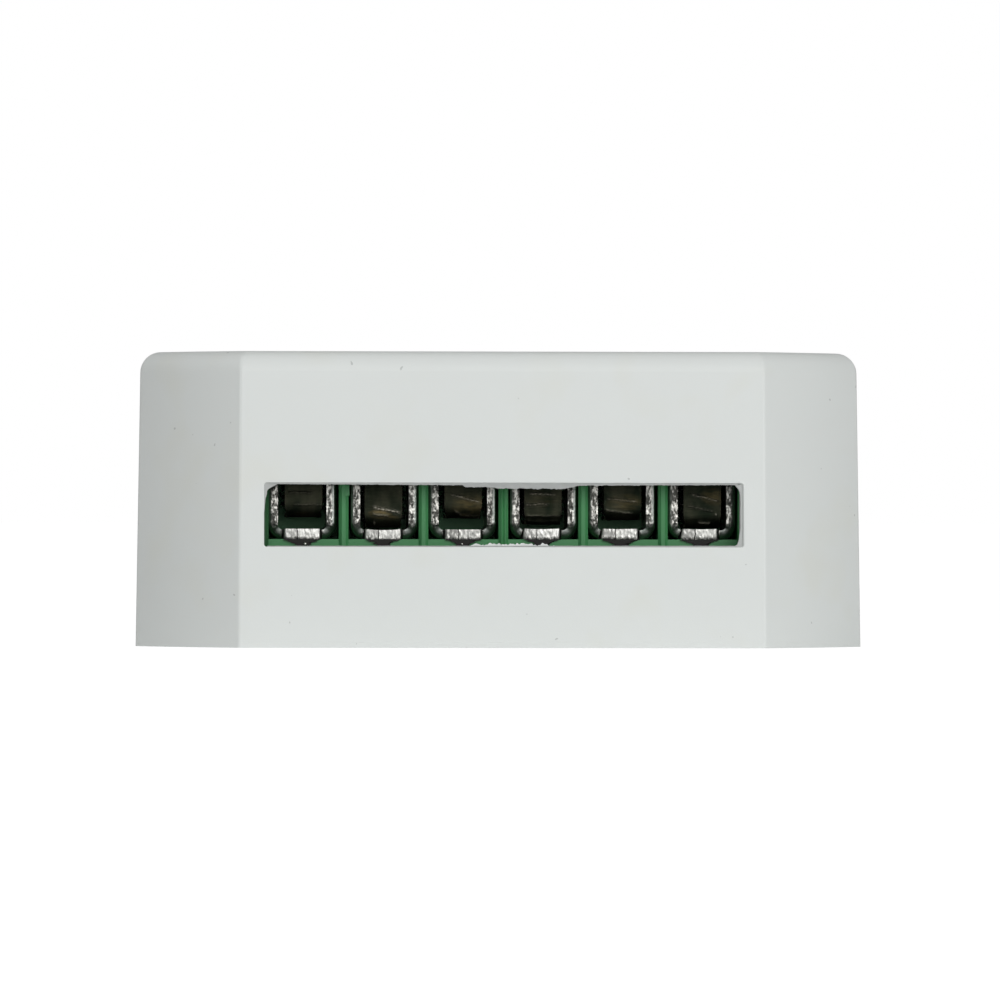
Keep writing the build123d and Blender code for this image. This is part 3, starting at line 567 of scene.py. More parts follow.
def chip_leads(finish, x, z):
    """The outer part of a chip on both sides, as a share of its depth over the leads."""
    return abs(finish.axes(finish.share())[1] - 0.5) > LEAD_SHARE


def beyond_fuse_body(finish, x, z):
    """The fuse's leads, past its ends and below it."""
    low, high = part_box("fuse_resistor")
    middle = (low.x + high.x) / 2 / MM
    return (abs(x - middle) > FUSE_HALF) | (z < BOARD_TOP)


bodied("varistor_blue", (0.015, 0.06, 0.33), under_board, roughness=0.22, depth=0.02)
bodied("film_yellow", (0.62, 0.45, 0.05), under_board, roughness=0.3)
bodied("fuse_green", (0.09, 0.20, 0.15), beyond_fuse_body, roughness=0.35)
bodied("chip_black", (0.018, 0.018, 0.020), chip_leads, roughness=0.55, depth=0.008)
bodied("resistor_black", (0.02, 0.02, 0.02), row_ends("chip_resistors", 1.6, 2.5, 0.3), roughness=0.25)
bodied("ceramic_tan", (0.33, 0.22, 0.12), row_ends("chip_capacitors", 2.0, 3.8, 0.45), roughness=0.45)
print("bodied parts:", list(finishes)[-6:])

# %% [markdown]
# ## Cans and the choke
#
# An electrolytic capacitor wears a dark sleeve with a pale stripe on its negative side, and its bare
# top is aluminium. The choke is a black ferrite drum with enamelled copper wire wound in its waist.


# %% Cans and choke
CHOKE_FLANGE = 1.2
WIRES_PER_MM = 4


def can_sleeve(finish, tone, z):
    """Paints the pale stripe on one side of the sleeve."""
    return finish.mix(finish.axes(finish.share())[0] < 0.12, tone, (0.45, 0.46, 0.48))


def can_top(finish, x, z):
    """The bare top of the can inside its sleeve, and the leads under the board."""
    across, back, up = finish.axes(finish.share())
    flat = finish.add("ShaderNodeCombineXYZ", inputs={0: across, 1: back})
    from_middle = finish.vector("DISTANCE", flat, (0.5, 0.5, 0), "Value")
    return (up > 0.9) * (from_middle < 0.42) | (z < BOARD_TOP)


def copper_winding(finish, tone, z):
    """Enamelled copper between the drum's flanges."""
    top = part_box("power_choke")[1].z / MM
    wound = (z > BOARD_TOP + CHOKE_FLANGE) * (z < top - CHOKE_FLANGE)
    wire = finish.mix((z * WIRES_PER_MM) % 1.0, (0.30, 0.09, 0.02), (0.62, 0.25, 0.07))
    return finish.mix(wound, tone, wire)


bodied("can_aluminium", (0.014, 0.016, 0.022), can_top, roughness=0.3, detail=can_sleeve)
bodied("ferrite_black", (0.025, 0.025, 0.027), under_board, roughness=0.5, detail=copper_winding)
print("cans and choke:", list(finishes)[-2:])

# %% [markdown]
# ## Label and light
#
# The label is a blank matt film. The light pipe is clear acrylic, so it takes a transmitting shader, and
# the light under it is white resin with a yellow spot of phosphor in the middle.


# %% Label, light pipe and light
mould("label_film", (0.80, 0.80, 0.79), roughness=0.6, grain=0.15, cloud=0.01)

pipe = Finish("light_clear", Transmission_Weight=1.0, IOR=1.49)
scratches = pipe.noise(2, 3, (5, 5, 0.4))
pipe.set(
    Base_Color=pipe.mix(scratches, (0.90, 0.92, 0.92), (0.97, 0.98, 0.98)),
    Roughness=0.06 + scratches * 0.1,
)

light = Finish("light_white", Specular_IOR_Level=0.5)
phosphor = light.vector("DISTANCE", light.share(), (0.5, 0.5, 1.0), "Value") < 0.33
light.set(
    Base_Color=light.mix(phosphor, (0.80, 0.80, 0.78), (0.72, 0.62, 0.12)),
    Roughness=0.3 + light.noise(6) * 0.1,
)
print("finishes:", len(finishes))

# %% [markdown]
# ## Dress the CAD nodes
#
# The record says which slot each node takes its finish from. A node's object keeps its mesh and its
# place, and only the material in its slot is swapped.

# %% Assign the finishes
slot_of = {part["node"]: part["material_slot"] for part in frame["record"]["subparts"]}
for node, piece in frame["nodes"].items():
    for material_slot in piece.material_slots:
        material_slot.material = finishes[slot_of[node]]
print("dressed:", len(slot_of), "nodes in", len(set(slot_of.values())), "slots")

# %% [markdown]
# ## Shaping by a map
#
# The small metal parts are bent and sheared strips. Each is a fine grid of cells on a box, and a
# function says where a point of that box goes: along the strip, through its thickness, and across its
# width. Bends, tapers, notches and torn edges are then all plain maths in one place. Numbers that the
# material needs, such as how torn a point is, are stored on the mesh as attributes.


# %% Mapped box
def make_piece(name, shape, slot, at=(0, 0), marks=None, body="meter", smooth_angle=35):
    """A mesh piece that rides on a body, from a shape's places and faces in millimetres, moved by at.

    Marks are lists of one number for each point.
    """
    places, faces = shape
    mesh = bpy.data.meshes.new(name)
    mesh.from_pydata([Vector((x + at[0], y + at[1], z)) * MM for x, y, z in places], [], faces)
    for mark, values in (marks or {}).items():
        mesh.attributes.new(mark, "FLOAT", "POINT").data.foreach_set("value", values)
    solid = bmesh.new()
    solid.from_mesh(mesh)
    bmesh.ops.recalc_face_normals(solid, faces=solid.faces)
    solid.to_mesh(mesh)
    solid.free()
    mesh.shade_smooth()
    mesh.set_sharp_from_angle(angle=radians(smooth_angle))
    mesh.materials.append(finishes[slot])
    piece = bpy.data.objects.new(name, mesh)
    scene.collection.objects.link(piece)
    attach(piece, body)
    return piece


def mapped_box(cuts, place):
    """The places and faces of a box of cells whose point (u, v, w), each 0 to 1, goes to place(u, v, w)."""
    steps = {}
    faces = []
    for axis in range(3):
        first, second = (axis + 1) % 3, (axis + 2) % 3
        for end, i, j in product((0, cuts[axis]), range(cuts[first]), range(cuts[second])):
            ring = []
            for i_step, j_step in ((i, j), (i + 1, j), (i + 1, j + 1), (i, j + 1)):
                step = [0, 0, 0]
                step[axis], step[first], step[second] = end, i_step, j_step
                ring.append(steps.setdefault(tuple(step), len(steps)))
            faces.append(ring if end else ring[::-1])
    places = [place(*(index / count for index, count in zip(step, cuts))) for step in steps]
    return places, faces


def rough(x, y, z):
    """Seeded noise from about -1 to 1 at a point."""
    return noise.noise(Vector((x, y, z)))


def ease(value):
    """0 below 0, 1 above 1, and a smooth rise between."""
    value = min(1.0, max(0.0, value))
    return value * value * (3 - 2 * value)


def through_stops(value, stops):
    """A value read off straight stretches between (place, value) stops, level beyond both ends."""
    for (start, low), (end, high) in zip(stops, stops[1:]):
        if value < end:
            return low + (high - low) * max(0.0, value - start) / (end - start)
    return stops[-1][1]


cube = mapped_box((2, 2, 2), lambda u, v, w: (u, v, w))
print("a box of 2 x 2 x 2 cells has", len(cube[0]), "corners and", len(cube[1]), "faces")

# %% [markdown]
# ## Places in the terminal row
#
# The CAD boxes give where each way stands. The few sizes below are those of the strip, the housing's
# floor and the screw's place, in millimetres, as the CAD has them.

# %% Terminal row
WAYS = 6
STRIP = 0.58
MOUTH_HEIGHT = 3.4
LOOP_WIDTH = 4.2
LOOP_HEIGHT = MOUTH_HEIGHT + 2 * STRIP
LOOP_CORNER = 0.9
HOUSING_FLOOR = 1.16  # thickness of the green housing's floor
SCREW_SETBACK = 3.2
CELL_FLOOR = BOARD_TOP + HOUSING_FLOOR
FLOOR_TOP = CELL_FLOOR + STRIP

BLOCK_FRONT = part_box("terminal_block_left")[0].y / MM
LOOP_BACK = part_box("wire_clamp_1")[1].y / MM
PIN_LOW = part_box("wire_clamp_1")[0].z / MM
SCREW_Y = BLOCK_FRONT + SCREW_SETBACK
way_x = [sum(corner.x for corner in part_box(f"wire_clamp_{way}")) / 2 / MM for way in range(1, WAYS + 1)]
print("block front", round(BLOCK_FRONT, 3), "ways at", [round(x, 2) for x in way_x])

# %% [markdown]
# ## Clamps
#
# A clamp is one strip bent into a loop. Its ends meet in a seam in the floor, a tab stands out at the
# front, and narrow relief cuts beside the tab let the corners bend. A bent strip can't be a plain
# profile, because its front edge steps in and out, so the loop is a mapped box: u runs along the strip
# from the seam and round to the seam, v from the outside to the inside, and w from front to back.

# %% The strip's middle line
SEAM = -0.28
SEAM_GAP = 0.06
MIDDLE_HALF = (LOOP_WIDTH - STRIP) / 2
MIDDLE_RISE = LOOP_HEIGHT - STRIP
MIDDLE_CORNER = LOOP_CORNER - STRIP / 2

corner_run = pi / 2 * MIDDLE_CORNER
wall_run = MIDDLE_RISE - 2 * MIDDLE_CORNER
roof_run = 2 * (MIDDLE_HALF - MIDDLE_CORNER)
loop_length = 4 * corner_run + 2 * wall_run + 2 * roof_run - SEAM_GAP


def walk_loop(distance, seam):
    """Place (x, z) and heading at a distance along the loop, from the way's middle and the cell's floor."""
    x, z, heading = seam + SEAM_GAP / 2, STRIP / 2, 0.0
    for straight in (MIDDLE_HALF - MIDDLE_CORNER - x, wall_run, roof_run, wall_run, roof_run):
        step = min(distance, straight)
        turned = min(distance - step, corner_run) / MIDDLE_CORNER
        x += step * cos(heading) + MIDDLE_CORNER * (sin(heading + turned) - sin(heading))
        z += step * sin(heading) + MIDDLE_CORNER * (cos(heading) - cos(heading + turned))
        heading += turned
        distance = max(0.0, distance - step - turned * MIDDLE_CORNER)
    return x, z, heading


print("strip", round(loop_length, 2), "mm long")

# %% The strip's front edge
TAB_HALF = 1.13
TAB_SWELL = 1.13  # the tab's cut face is a little taller than the strip is thick
RELIEF = 0.10
RELIEF_DEPTH = 1.2
WALL_SETBACK = 0.4
CORNER_SETBACK = 0.52
NOTCH_HALF = 1.3
NOTCH_DEPTH = 1.42
# The punch rolls the strip's outer edge over: how much of the thickness, and how deep
WALL_BURNISH, WALL_ROUND = 0.38, 0.15
CORNER_BURNISH, CORNER_ROUND = 1.0, 0.34
TAB_END_ROUND = 0.16
TAB_GRAIN, TORN_GRAIN = 0.02, 0.035  # how far the cuts are rough
JOG = 0.05  # how far the strip's ends step to the side at the seam
JOG_REACH = 0.35
# where each clamp's loop and its tab stand to the side, how far the tab sags and lifts, and how bright it is
clamp_habits = [
    (-0.09, -0.02, 0.0, 0.03, 1.0),
    (0.06, -0.10, 0.07, 0.02, 0.8),
    (-0.03, 0.0, 0.01, 0.0, 0.62),
    (0.03, -0.15, 0.03, 0.06, 0.95),
    (-0.06, -0.15, 0.02, 0.06, 0.8),
    (-0.04, -0.17, 0.03, 0.06, 0.8),
]


def rounded(share):
    """How far a quarter round falls back, from 0 where share is 0 to 1 where it is 1."""
    return 1 - sqrt(max(0.0, 1 - share * share))


def cornerness(z):
    """1 where the strip bends round below, 0 up its walls."""
    return 1 - ease((z - 0.45) / 0.6)


def front_setback(x, z, outer, tab_x):
    """How far behind the housing's front the strip's edge stands. Outer is 1 at the outside, 0 inside."""
    side = abs(x - tab_x)
    corner = cornerness(z)
    burnish = WALL_BURNISH + (CORNER_BURNISH - WALL_BURNISH) * corner
    roll = max(0.0, (outer - 1 + burnish) / burnish)
    wall_round = WALL_ROUND * (0.45 if x < 0 else 1.0)
    rounding = (wall_round + (CORNER_ROUND - wall_round) * corner) * rounded(roll)
    if z > LOOP_HEIGHT / 2 and abs(x) < NOTCH_HALF:
        return NOTCH_DEPTH
    if z < STRIP and side < TAB_HALF:
        near_end = max(0.0, (side - TAB_HALF + TAB_END_ROUND) / TAB_END_ROUND)
        return 0.10 * rounded(near_end) + 0.15 * rounding
    if z < STRIP and side < TAB_HALF + RELIEF:
        return RELIEF_DEPTH
    return WALL_SETBACK + (CORNER_SETBACK - WALL_SETBACK) * corner + rounding


def clamp_strip(seed, tab_x, sag, lift, bright):
    """Maps a box to the bent strip, and says for each of its points how torn it is, how much tab, and how
    much flux and painted shade it takes.
    """
    marks = {"torn": [], "tab": [], "stain": []}
    seam = SEAM + tab_x

    def place(u, v, w):
        x, z, heading = walk_loop(u * loop_length, seam)
        inward = (v - 0.5) * STRIP
        front = front_setback(x, z, 1 - v, tab_x)
        at_edge = 1 - ease(w / 0.06)
        side = abs(x - tab_x)
        on_floor = z < STRIP
        on_tab = on_floor and side < TAB_HALF
        burnish = WALL_BURNISH * (0.4 if x < 0 else 0.8)
        if on_tab:
            grain, amount = TAB_GRAIN * rough(x * 9, z * 2 + seed, v * 3), 1.0
        else:
            beside_tab = 1 - ease((side - TAB_HALF - RELIEF) / 0.3) if on_floor else 0.0
            grain = TORN_GRAIN * rough(x * 5, z * 7 + seed, v * 3)
            amount = ease((v - burnish) / 0.15) * max(1 - cornerness(z), 0.8 * beside_tab)
        ragged = ease((0.35 - v) / 0.2)
        shine = (bright - 0.2 if x < seam else bright) * (1 - 0.6 * ragged)
        marks["torn"].append(amount * at_edge)
        marks["tab"].append(at_edge * shine if on_tab else 0.0)
        # The relief cuts beside the tab are painted black: painted shade in their narrow gaps.
        marks["stain"].append(1.0 if on_floor and TAB_HALF <= side < TAB_HALF + RELIEF else 0.0)
        front += grain * amount * at_edge
        drop = 0.0
        if on_tab:
            front += max(0.0, seam - x) * 0.08 * at_edge
            drop = (sag * (1 - ((x - tab_x) / TAB_HALF) ** 2) - lift) * at_edge
            drop += 0.05 * ragged * rough(x * 5, seed, 2.0) * at_edge
            inward *= 1 + (TAB_SWELL - 1) * at_edge
        jog = JOG * rough(v * 2.5, seed, 7.0) * (1 - ease(min(u, 1 - u) * loop_length / JOG_REACH))
        return (
            x - inward * sin(heading) + jog,
            BLOCK_FRONT + front + w ** 1.8 * (LOOP_BACK - BLOCK_FRONT - front),
            CELL_FLOOR + z + inward * cos(heading) - drop,
        )

    return mapped_box((300, 8, 8), place), marks


trial, trial_marks = clamp_strip(1.0, *clamp_habits[0][1:])
print("strip mesh:", len(trial[0]), "points, most torn", round(max(trial_marks["torn"]), 2))

# %% [markdown]
# The pin is bent down from the tab. It fills the funnel-shaped notch in the housing's floor, and goes on
# through the board as a plain blade. It stands behind the tab's face, and its top is painted black, for
# flux and as painted shade in the notch.

# %% The clamp's pin and threaded collar
PIN_SETBACK = 0.3
PIN_BACK = 0.65
PIN_RISE = 0.05  # how far the pin reaches into the strip above it
# width of the pin at depths below the top of the housing's floor
pin_widths = [(-0.05, 2.1), (0.0, 2.1), (0.14, 1.2), (0.30, 0.76), (0.5, 0.6)]
COLLAR_RADIUS = 1.85
COLLAR_HEIGHT = 0.7
HOLE_RADIUS = 1.5


def clamp_pin(u, v, w):
    """Maps a box to the pin: u down it, v across it, w from its front to its back."""
    top = CELL_FLOOR + PIN_RISE
    z = top + u ** 2 * (PIN_LOW - top)
    width = through_stops(CELL_FLOOR - z, pin_widths)
    point = 1 - 0.45 * ease((PIN_LOW + 0.8 - z) / 0.8)
    return (v - 0.5) * width * point, BLOCK_FRONT + PIN_SETBACK + w * (PIN_BACK - PIN_SETBACK), z


def lathe(profile, steps, twist=None):
    """The places and faces of a closed ring: profile points (radius, z) go round the z axis."""
    places = []
    for step in range(steps):
        angle = tau * step / steps
        for radius, z in profile:
            radius += twist(angle, radius, z) if twist else 0.0
            places.append((radius * cos(angle), radius * sin(angle), z))
    count = len(profile)
    faces = []
    for step in range(steps):
        here, there = step * count, (step + 1) % steps * count
        for k in range(count):
            after = (k + 1) % count
            faces.append((here + k, there + k, there + after, here + after))
    return places, faces


collar_foot = CELL_FLOOR + LOOP_HEIGHT - 0.02
collar_top = collar_foot + COLLAR_HEIGHT
# (outwards, up) from the collar's foot
collar_outline = [(0.12, 0.0), (0.03, 0.06), (0.0, 0.16), (0.0, COLLAR_HEIGHT - 0.06), (-0.05, COLLAR_HEIGHT)]
collar_profile = [
    (HOLE_RADIUS, collar_foot),
    *[(COLLAR_RADIUS + out, collar_foot + up) for out, up in collar_outline],
    (HOLE_RADIUS + 0.05, collar_top),
    (HOLE_RADIUS, collar_top - 0.05),
]
print("collar from", round(collar_foot, 2), "to", round(collar_top, 2), "mm")


# %% Six clamps
def cut_with(piece, build, where, **sizes):
    """Takes a closed shape out of a piece. Build is the bmesh operator that makes it at a matrix."""
    shape = bmesh.new()
    build(shape, matrix=where, **sizes)
    cutter_mesh = bpy.data.meshes.new("cutter")
    shape.to_mesh(cutter_mesh)
    shape.free()
    cutter = bpy.data.objects.new("cutter", cutter_mesh)
    scene.collection.objects.link(cutter)
    cut = piece.modifiers.new("cut", "BOOLEAN")
    cut.object = cutter
    cut.solver = "EXACT"
    evaluated = piece.evaluated_get(bpy.context.evaluated_depsgraph_get())
    piece.data = bpy.data.meshes.new_from_object(evaluated)
    piece.modifiers.clear()
    bpy.data.objects.remove(cutter)


CUT_PAST = 0.3  # how far a hole's cutter stands past both faces of the strip
hole = {"radius1": HOLE_RADIUS * MM, "radius2": HOLE_RADIUS * MM, "depth": (STRIP + 2 * CUT_PAST) * MM}
blade = mapped_box((40, 6, 3), clamp_pin)
# The pin's top is painted black, for flux and as painted shade in the notch.
blade_flux_and_shade = [1 - ease((CELL_FLOOR - 1.0 - z) / 0.4) for x, y, z in blade[0]]
ring = lathe(collar_profile, 48)
for way, (x, (loop_x, *habits)) in enumerate(zip(way_x, clamp_habits), start=1):
    strip, marks = clamp_strip(3.7 * way, *habits)
    clamp = make_piece(f"clamp_{way}", strip, "clamp_tinned", (x + loop_x, 0), marks)
    middle = Matrix.Translation(Vector((x, SCREW_Y, CELL_FLOOR + LOOP_HEIGHT - STRIP / 2)) * MM)
    cut_with(clamp, bmesh.ops.create_cone, middle, cap_ends=True, segments=64, **hole)
    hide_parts(f"wire_clamp_{way}")

    pin = make_piece(f"pin_{way}", blade, "clamp_tinned", (x, 0), {"stain": blade_flux_and_shade})
    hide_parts(f"wire_clamp_{way}")

    collar = make_piece(f"collar_{way}", ring, "clamp_tinned", (x, SCREW_Y))
    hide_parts(f"wire_clamp_{way}")
    print(f"clamp_{way}", len(clamp.data.polygons), "faces")

# %% [markdown]
# A ragged black film stands under each tab, over the front of the notch: flux, and painted shade of the
# gap under the tab. In two of the ways, a bead of solder hangs in front of the pin.

# %% Flux and painted shade
FLUX_SHADE_DROP = 0.58
FLUX_SHADE_PROUD = 0.015  # how far the film stands out of the housing's front
FLUX_SHADE_THICK = 0.2
# width of the film at depths below the top of the housing's floor
flux_shade_widths = [(0.0, 2.1), (0.07, 2.0), (0.12, 1.6), (0.20, 1.15), (0.32, 0.85), (0.6, 0.55)]


def flux_shade_film(seed):
    """Maps a box to the film under one tab: u down it, v across it, w through it."""

    def place(u, v, w):
        depth = FLUX_SHADE_DROP * u
        ragged = 1 + 0.7 * rough(depth * 14, seed, (v > 0.5) * 5.0) * ease(u / 0.15)
        return (
            (v - 0.5) * through_stops(depth, flux_shade_widths) * ragged,
            BLOCK_FRONT - FLUX_SHADE_PROUD + FLUX_SHADE_THICK * w,
            CELL_FLOOR - depth + 0.02 * rough(v * 12, seed, 1.0),
        )

    return mapped_box((30, 24, 1), place)


# These films are flux and painted shade of the gap under each tab.
for way, (x, habits) in enumerate(zip(way_x, clamp_habits), start=1):
    film = flux_shade_film(5.3 * way)
    all_flux_and_shade = {"stain": [1.0] * len(film[0])}
    make_piece(f"flux_{way}", film, "clamp_tinned", (x + sum(habits[:2]), 0), all_flux_and_shade)
print("flux films:", WAYS)

# %% Beads of solder
BEAD_DROP = 0.30
ARC_STEPS = 12
# way: the bead's place from the way's middle, and its radius
beads = {1: (0.09, 0.12), 3: (-0.10, 0.08)}
for way, (shift, radius) in beads.items():
    angles = [pi * step / ARC_STEPS for step in range(ARC_STEPS + 1)]
    profile = [(radius * max(0.02, sin(a)), CELL_FLOOR - BEAD_DROP - radius * cos(a)) for a in angles]
    at = (way_x[way - 1] + shift, BLOCK_FRONT)
    make_piece(f"solder_bead_{way}", lathe(profile, 20), "solder_tin", at, smooth_angle=60)
print("beads in ways", list(beads))

# %% [markdown]
# ## Leaves under the screws
#
# Each leaf hangs in front of its screw and turns back under it. It was pressed with creases that lie a
# little askew, different in each way, with painted glints along them, and it carries brass-brown patches
# of painted sheen. Its lower end is narrower. Heights are above the clamp's floor and x is from the way's
# middle, in millimetres.

# %% Creases and rubbed patches
LEAF_WIDTH = 2.35
LEAF_THICKNESS = 0.3
LEAF_BEND = 0.9
LEAF_LENGTH = 4.4
LEAF_HEIGHT = 2.8
LEAF_SETBACK = 0.75
CREASE_HALF_WIDTH = 0.065
CREASE_RISE = 0.05
# Each leaf's creases: from (x, height) to (x, height), and how bright its painted glint is
leaf_creases = [
    [(-0.93, 2.33, 0.57, 2.33, 0.06), (-0.60, 1.58, 1.15, 1.62, 0.08)],
    [(-0.62, 1.40, 1.00, 1.10, 0.62), (-0.70, 1.00, 0.30, 0.86, 0.2), (-0.62, 0.40, -0.50, 0.37, 0.8)],
    [(-0.72, 2.21, 1.02, 1.75, 0.30), (-0.56, 1.21, -0.06, 0.88, 0.2), (-0.06, 0.88, 1.10, 0.79, 0.2),
     (1.05, 0.75, 1.15, 0.72, 0.8)],
    [(-0.82, 2.29, 0.77, 2.22, 0.22), (-1.10, 1.58, 0.35, 1.64, 0.2), (-1.10, 0.88, 1.00, 0.88, 0.1),
     (-1.00, 0.54, 1.00, 0.54, 0.08)],
    [(-0.96, 2.00, 0.88, 1.78, 0.2), (-1.10, 1.29, 0.62, 1.00, 0.16)],
    [(-0.67, 2.25, 1.00, 1.83, 0.24), (-0.90, 1.54, 0.67, 1.21, 0.1), (-0.25, 0.44, 0.50, 0.42, 0.6),
     (0.82, 0.98, 0.92, 0.94, 0.6)],
]
# Each leaf's patches of painted sheen: (x, height), how far one reaches along x and up, and how brown it is
leaf_patches = [
    [(-0.10, 0.95, 0.8, 0.18, 0.15)],
    [(-0.20, 0.98, 0.85, 0.34, 0.8), (0.45, 0.75, 0.6, 0.2, 0.4)],
    [(0.45, 1.50, 1.3, 0.90, 0.42), (0.30, 0.98, 0.8, 0.24, 0.3)],
    [(0.00, 1.90, 1.3, 0.50, 0.10)],
    [(0.20, 1.75, 1.3, 0.60, 0.28)],
    [(0.70, 2.10, 0.9, 0.60, 0.32)],
]
print("creases in each leaf:", [len(creases) for creases in leaf_creases])


# %% Leaves
def crease_at(x, height, crease, seed):
    """How far a point is on a crease, from 0 off it to 1 on its line."""
    x0, h0, x1, h1 = crease[:4]
    along = (x - x0) / (x1 - x0)
    ends = ease((along + 0.08) / 0.16) * ease((1.08 - along) / 0.16)
    line = h0 + (h1 - h0) * along + 0.05 * rough(x * 2.2, seed, h0) + 0.015 * rough(x * 11, seed, h0)
    gap = (height - line) / CREASE_HALF_WIDTH
    return ends / (1 + gap * gap)


def leaf_shape(foot, way):
    """Maps a box to the leaf: u along it from its top to its back end, v across, w through."""
    front = BLOCK_FRONT + LEAF_SETBACK
    face_run = LEAF_HEIGHT - LEAF_BEND
    bend_run = pi / 2 * (LEAF_BEND - LEAF_THICKNESS / 2)
    total = face_run + bend_run + LEAF_LENGTH - LEAF_BEND
    marks = {"crest": [], "rubbed": []}

    def place(u, v, w):
        distance = u ** 1.6 * total
        past_bend = distance - face_run - bend_run
        inner = LEAF_BEND - LEAF_THICKNESS * w
        angle = min(1.0, max(0.0, (distance - face_run) / bend_run)) * pi / 2
        y = front + LEAF_BEND - inner * cos(angle) + max(0.0, past_bend)
        z = foot + LEAF_BEND - inner * sin(angle) + max(0.0, face_run - distance)
        narrow = 1 - 0.12 * ease((0.9 - z + foot) / 0.9) * (1 if past_bend < 0 else 0.4)
        x = (v - 0.5) * LEAF_WIDTH * narrow
        height = z - FLOOR_TOP
        ridges = [(crease_at(x, height, crease, way), crease[4]) for crease in leaf_creases[way - 1]]
        brown = max(
            depth * max(0.0, 1 - ((x - px) / reach) ** 2 - ((height - ph) / rise) ** 2)
            for px, ph, reach, rise, depth in leaf_patches[way - 1]
        )
        shown = w < 0.5 and past_bend < 0
        # painted glint along the creases, on the leaf's front only
        marks["crest"].append(max(bright * ridge ** 1.5 for ridge, bright in ridges) if shown else 0.0)
        # painted sheen in the patches, on the leaf's front only
        marks["rubbed"].append(brown if shown else 0.0)
        raised = CREASE_RISE * max(ridges)[0] + 0.02 * rough(x * 0.8, height * 1.4, way)
        shift = (min(0.9 * CREASE_RISE, raised) - CREASE_RISE) * (1 - w)
        return x, y - cos(angle) * shift, z - sin(angle) * min(0.0, shift)

    return mapped_box((220, 40, 2), place), marks


for way, x in enumerate(way_x, start=1):
    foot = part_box(f"wire_guard_{way}")[0].z / MM
    shape, marks = leaf_shape(foot, way)
    leaf = make_piece(f"leaf_{way}", shape, "guard_bronze", (x, 0), marks, body=f"guard_{way}")
    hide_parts(f"wire_guard_{way}")
    print(f"leaf_{way} foot", round(foot - FLOOR_TOP, 2), "mm above the clamp's floor")

# %% [markdown]
# ## The switch's dome
#
# Under the button's plunger is a snap dome of spring steel, which flattens as the button goes down. Here
# it is a piece of its own in one fixed shape: a flat crown that falls away towards its rim.

# %% Snap dome
DOME_FLAT = 0.9  # radius of its flat crown
DOME_SHEET = 0.12
DOME_STEPS = 16
dome_low, dome_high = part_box("switch_dome")
crown = dome_high.z / MM
dome_height = (dome_high.z - dome_low.z) / MM
dome_radius = (dome_high.x - dome_low.x) / 2 / MM
dome_x, dome_y = (dome_low.x + dome_high.x) / 2 / MM, (dome_low.y + dome_high.y) / 2 / MM
dome_outside = [(
    DOME_FLAT + (dome_radius - DOME_FLAT) * step / DOME_STEPS,
    crown - (0.5 - 0.5 * cos(pi * step / DOME_STEPS)) * (dome_height - DOME_SHEET),
) for step in range(DOME_STEPS + 1)]
dome_inside = [(radius, z - DOME_SHEET) for radius, z in reversed(dome_outside)]
dome_profile = [(0.02, crown - DOME_SHEET), (0.02, crown)] + dome_outside + dome_inside

dome = make_piece("snap_dome", lathe(dome_profile, 64), "spring_steel", (dome_x, dome_y))
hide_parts("switch_dome")
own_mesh(dome)

# %% [markdown]
# ## Screws
#
# A terminal screw has a right-hand thread and a flat slotted head. The thread is a lathe whose radius
# depends on the angle as well as the height, which makes one helix. The slot stands where the thread
# has turned it to, so turning the screw by the joint keeps thread and height in step.

# %% Screws
THREAD_PITCH = 0.5
THREAD_RADIUS = 1.45
THREAD_DEPTH = 0.27
SHANK = 4.58
HEAD_RADIUS = 1.9
SLOT_WIDTH = 0.7
SLOT_DEPTH = 0.7


def screw_profile(tip, top):
    """The outline of the screw from the axis at its tip to the axis at its head, in small steps."""
    rows = ceil(SHANK / THREAD_PITCH * 10)
    shank = [(THREAD_RADIUS, tip + SHANK * row / rows) for row in range(rows + 1)]
    foot = tip + SHANK
    # (in from the head's rim, up)
    rim = [(0.08, foot), (0.0, foot + 0.08), (0.0, top - 0.22)]
    shoulder = [(0.06, top - 0.10), (0.20, top - 0.02), (0.34, top)]
    head = [(HEAD_RADIUS - inset, z) for inset, z in rim + shoulder]
    return [(0.02, tip)] + shank + head + [(0.02, top)]


def thread_depth(tip, turn):
    """Says how far the thread's flank lies inside its crest at an angle and height."""

    def twist(angle, radius, z):
        if radius != THREAD_RADIUS or z > tip + SHANK - 0.3:
            return 0.0
        phase = ((z - tip) / THREAD_PITCH - (angle - turn) / tau) % 1.0
        groove = 1 - abs(2 * phase - 1)
        point = 0.35 * max(0.0, 1 - (z - tip) / 0.35)
        return -THREAD_DEPTH * min(1.0, max(0.0, 1.25 * groove - 0.12)) - point

    return twist


for way, x in enumerate(way_x, start=1):
    low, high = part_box(f"terminal_screw_{way}")
    tip, top = low.z / MM, high.z / MM
    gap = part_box(f"wire_guard_{way}")[0].z / MM - FLOOR_TOP
    turn = tau * gap / THREAD_PITCH
    shape = lathe(screw_profile(tip, top), 48, thread_depth(tip, turn))
    name = f"screw_{way}"
    screw = make_piece(name, shape, "screw_zinc", (x, SCREW_Y), body=name, smooth_angle=50)
    turned = Matrix.Translation(Vector((x, SCREW_Y, top)) * MM) @ Matrix.Rotation(turn, 4, "Z")
    sides = Matrix.Diagonal((3 * HEAD_RADIUS * MM, SLOT_WIDTH * MM, 2 * SLOT_DEPTH * MM, 1))
    cut_with(screw, bmesh.ops.create_cube, turned @ sides, size=1.0)
    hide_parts(f"terminal_screw_{way}")
    print(name, "turned", round(turn * 180 / pi) % 360, "degrees,", len(screw.data.polygons), "faces")

# %% [markdown]
# ## Flash round the window
#
# The mould didn't close quite tightly at the window: a thin curtain of plastic hangs from its upper edge,
# torn bits and a narrow lip stand on the lower one, and webs close two of its corners. Two of the green
# ribs have a burr as well. Each is a thin mapped box whose free edge is ragged noise.

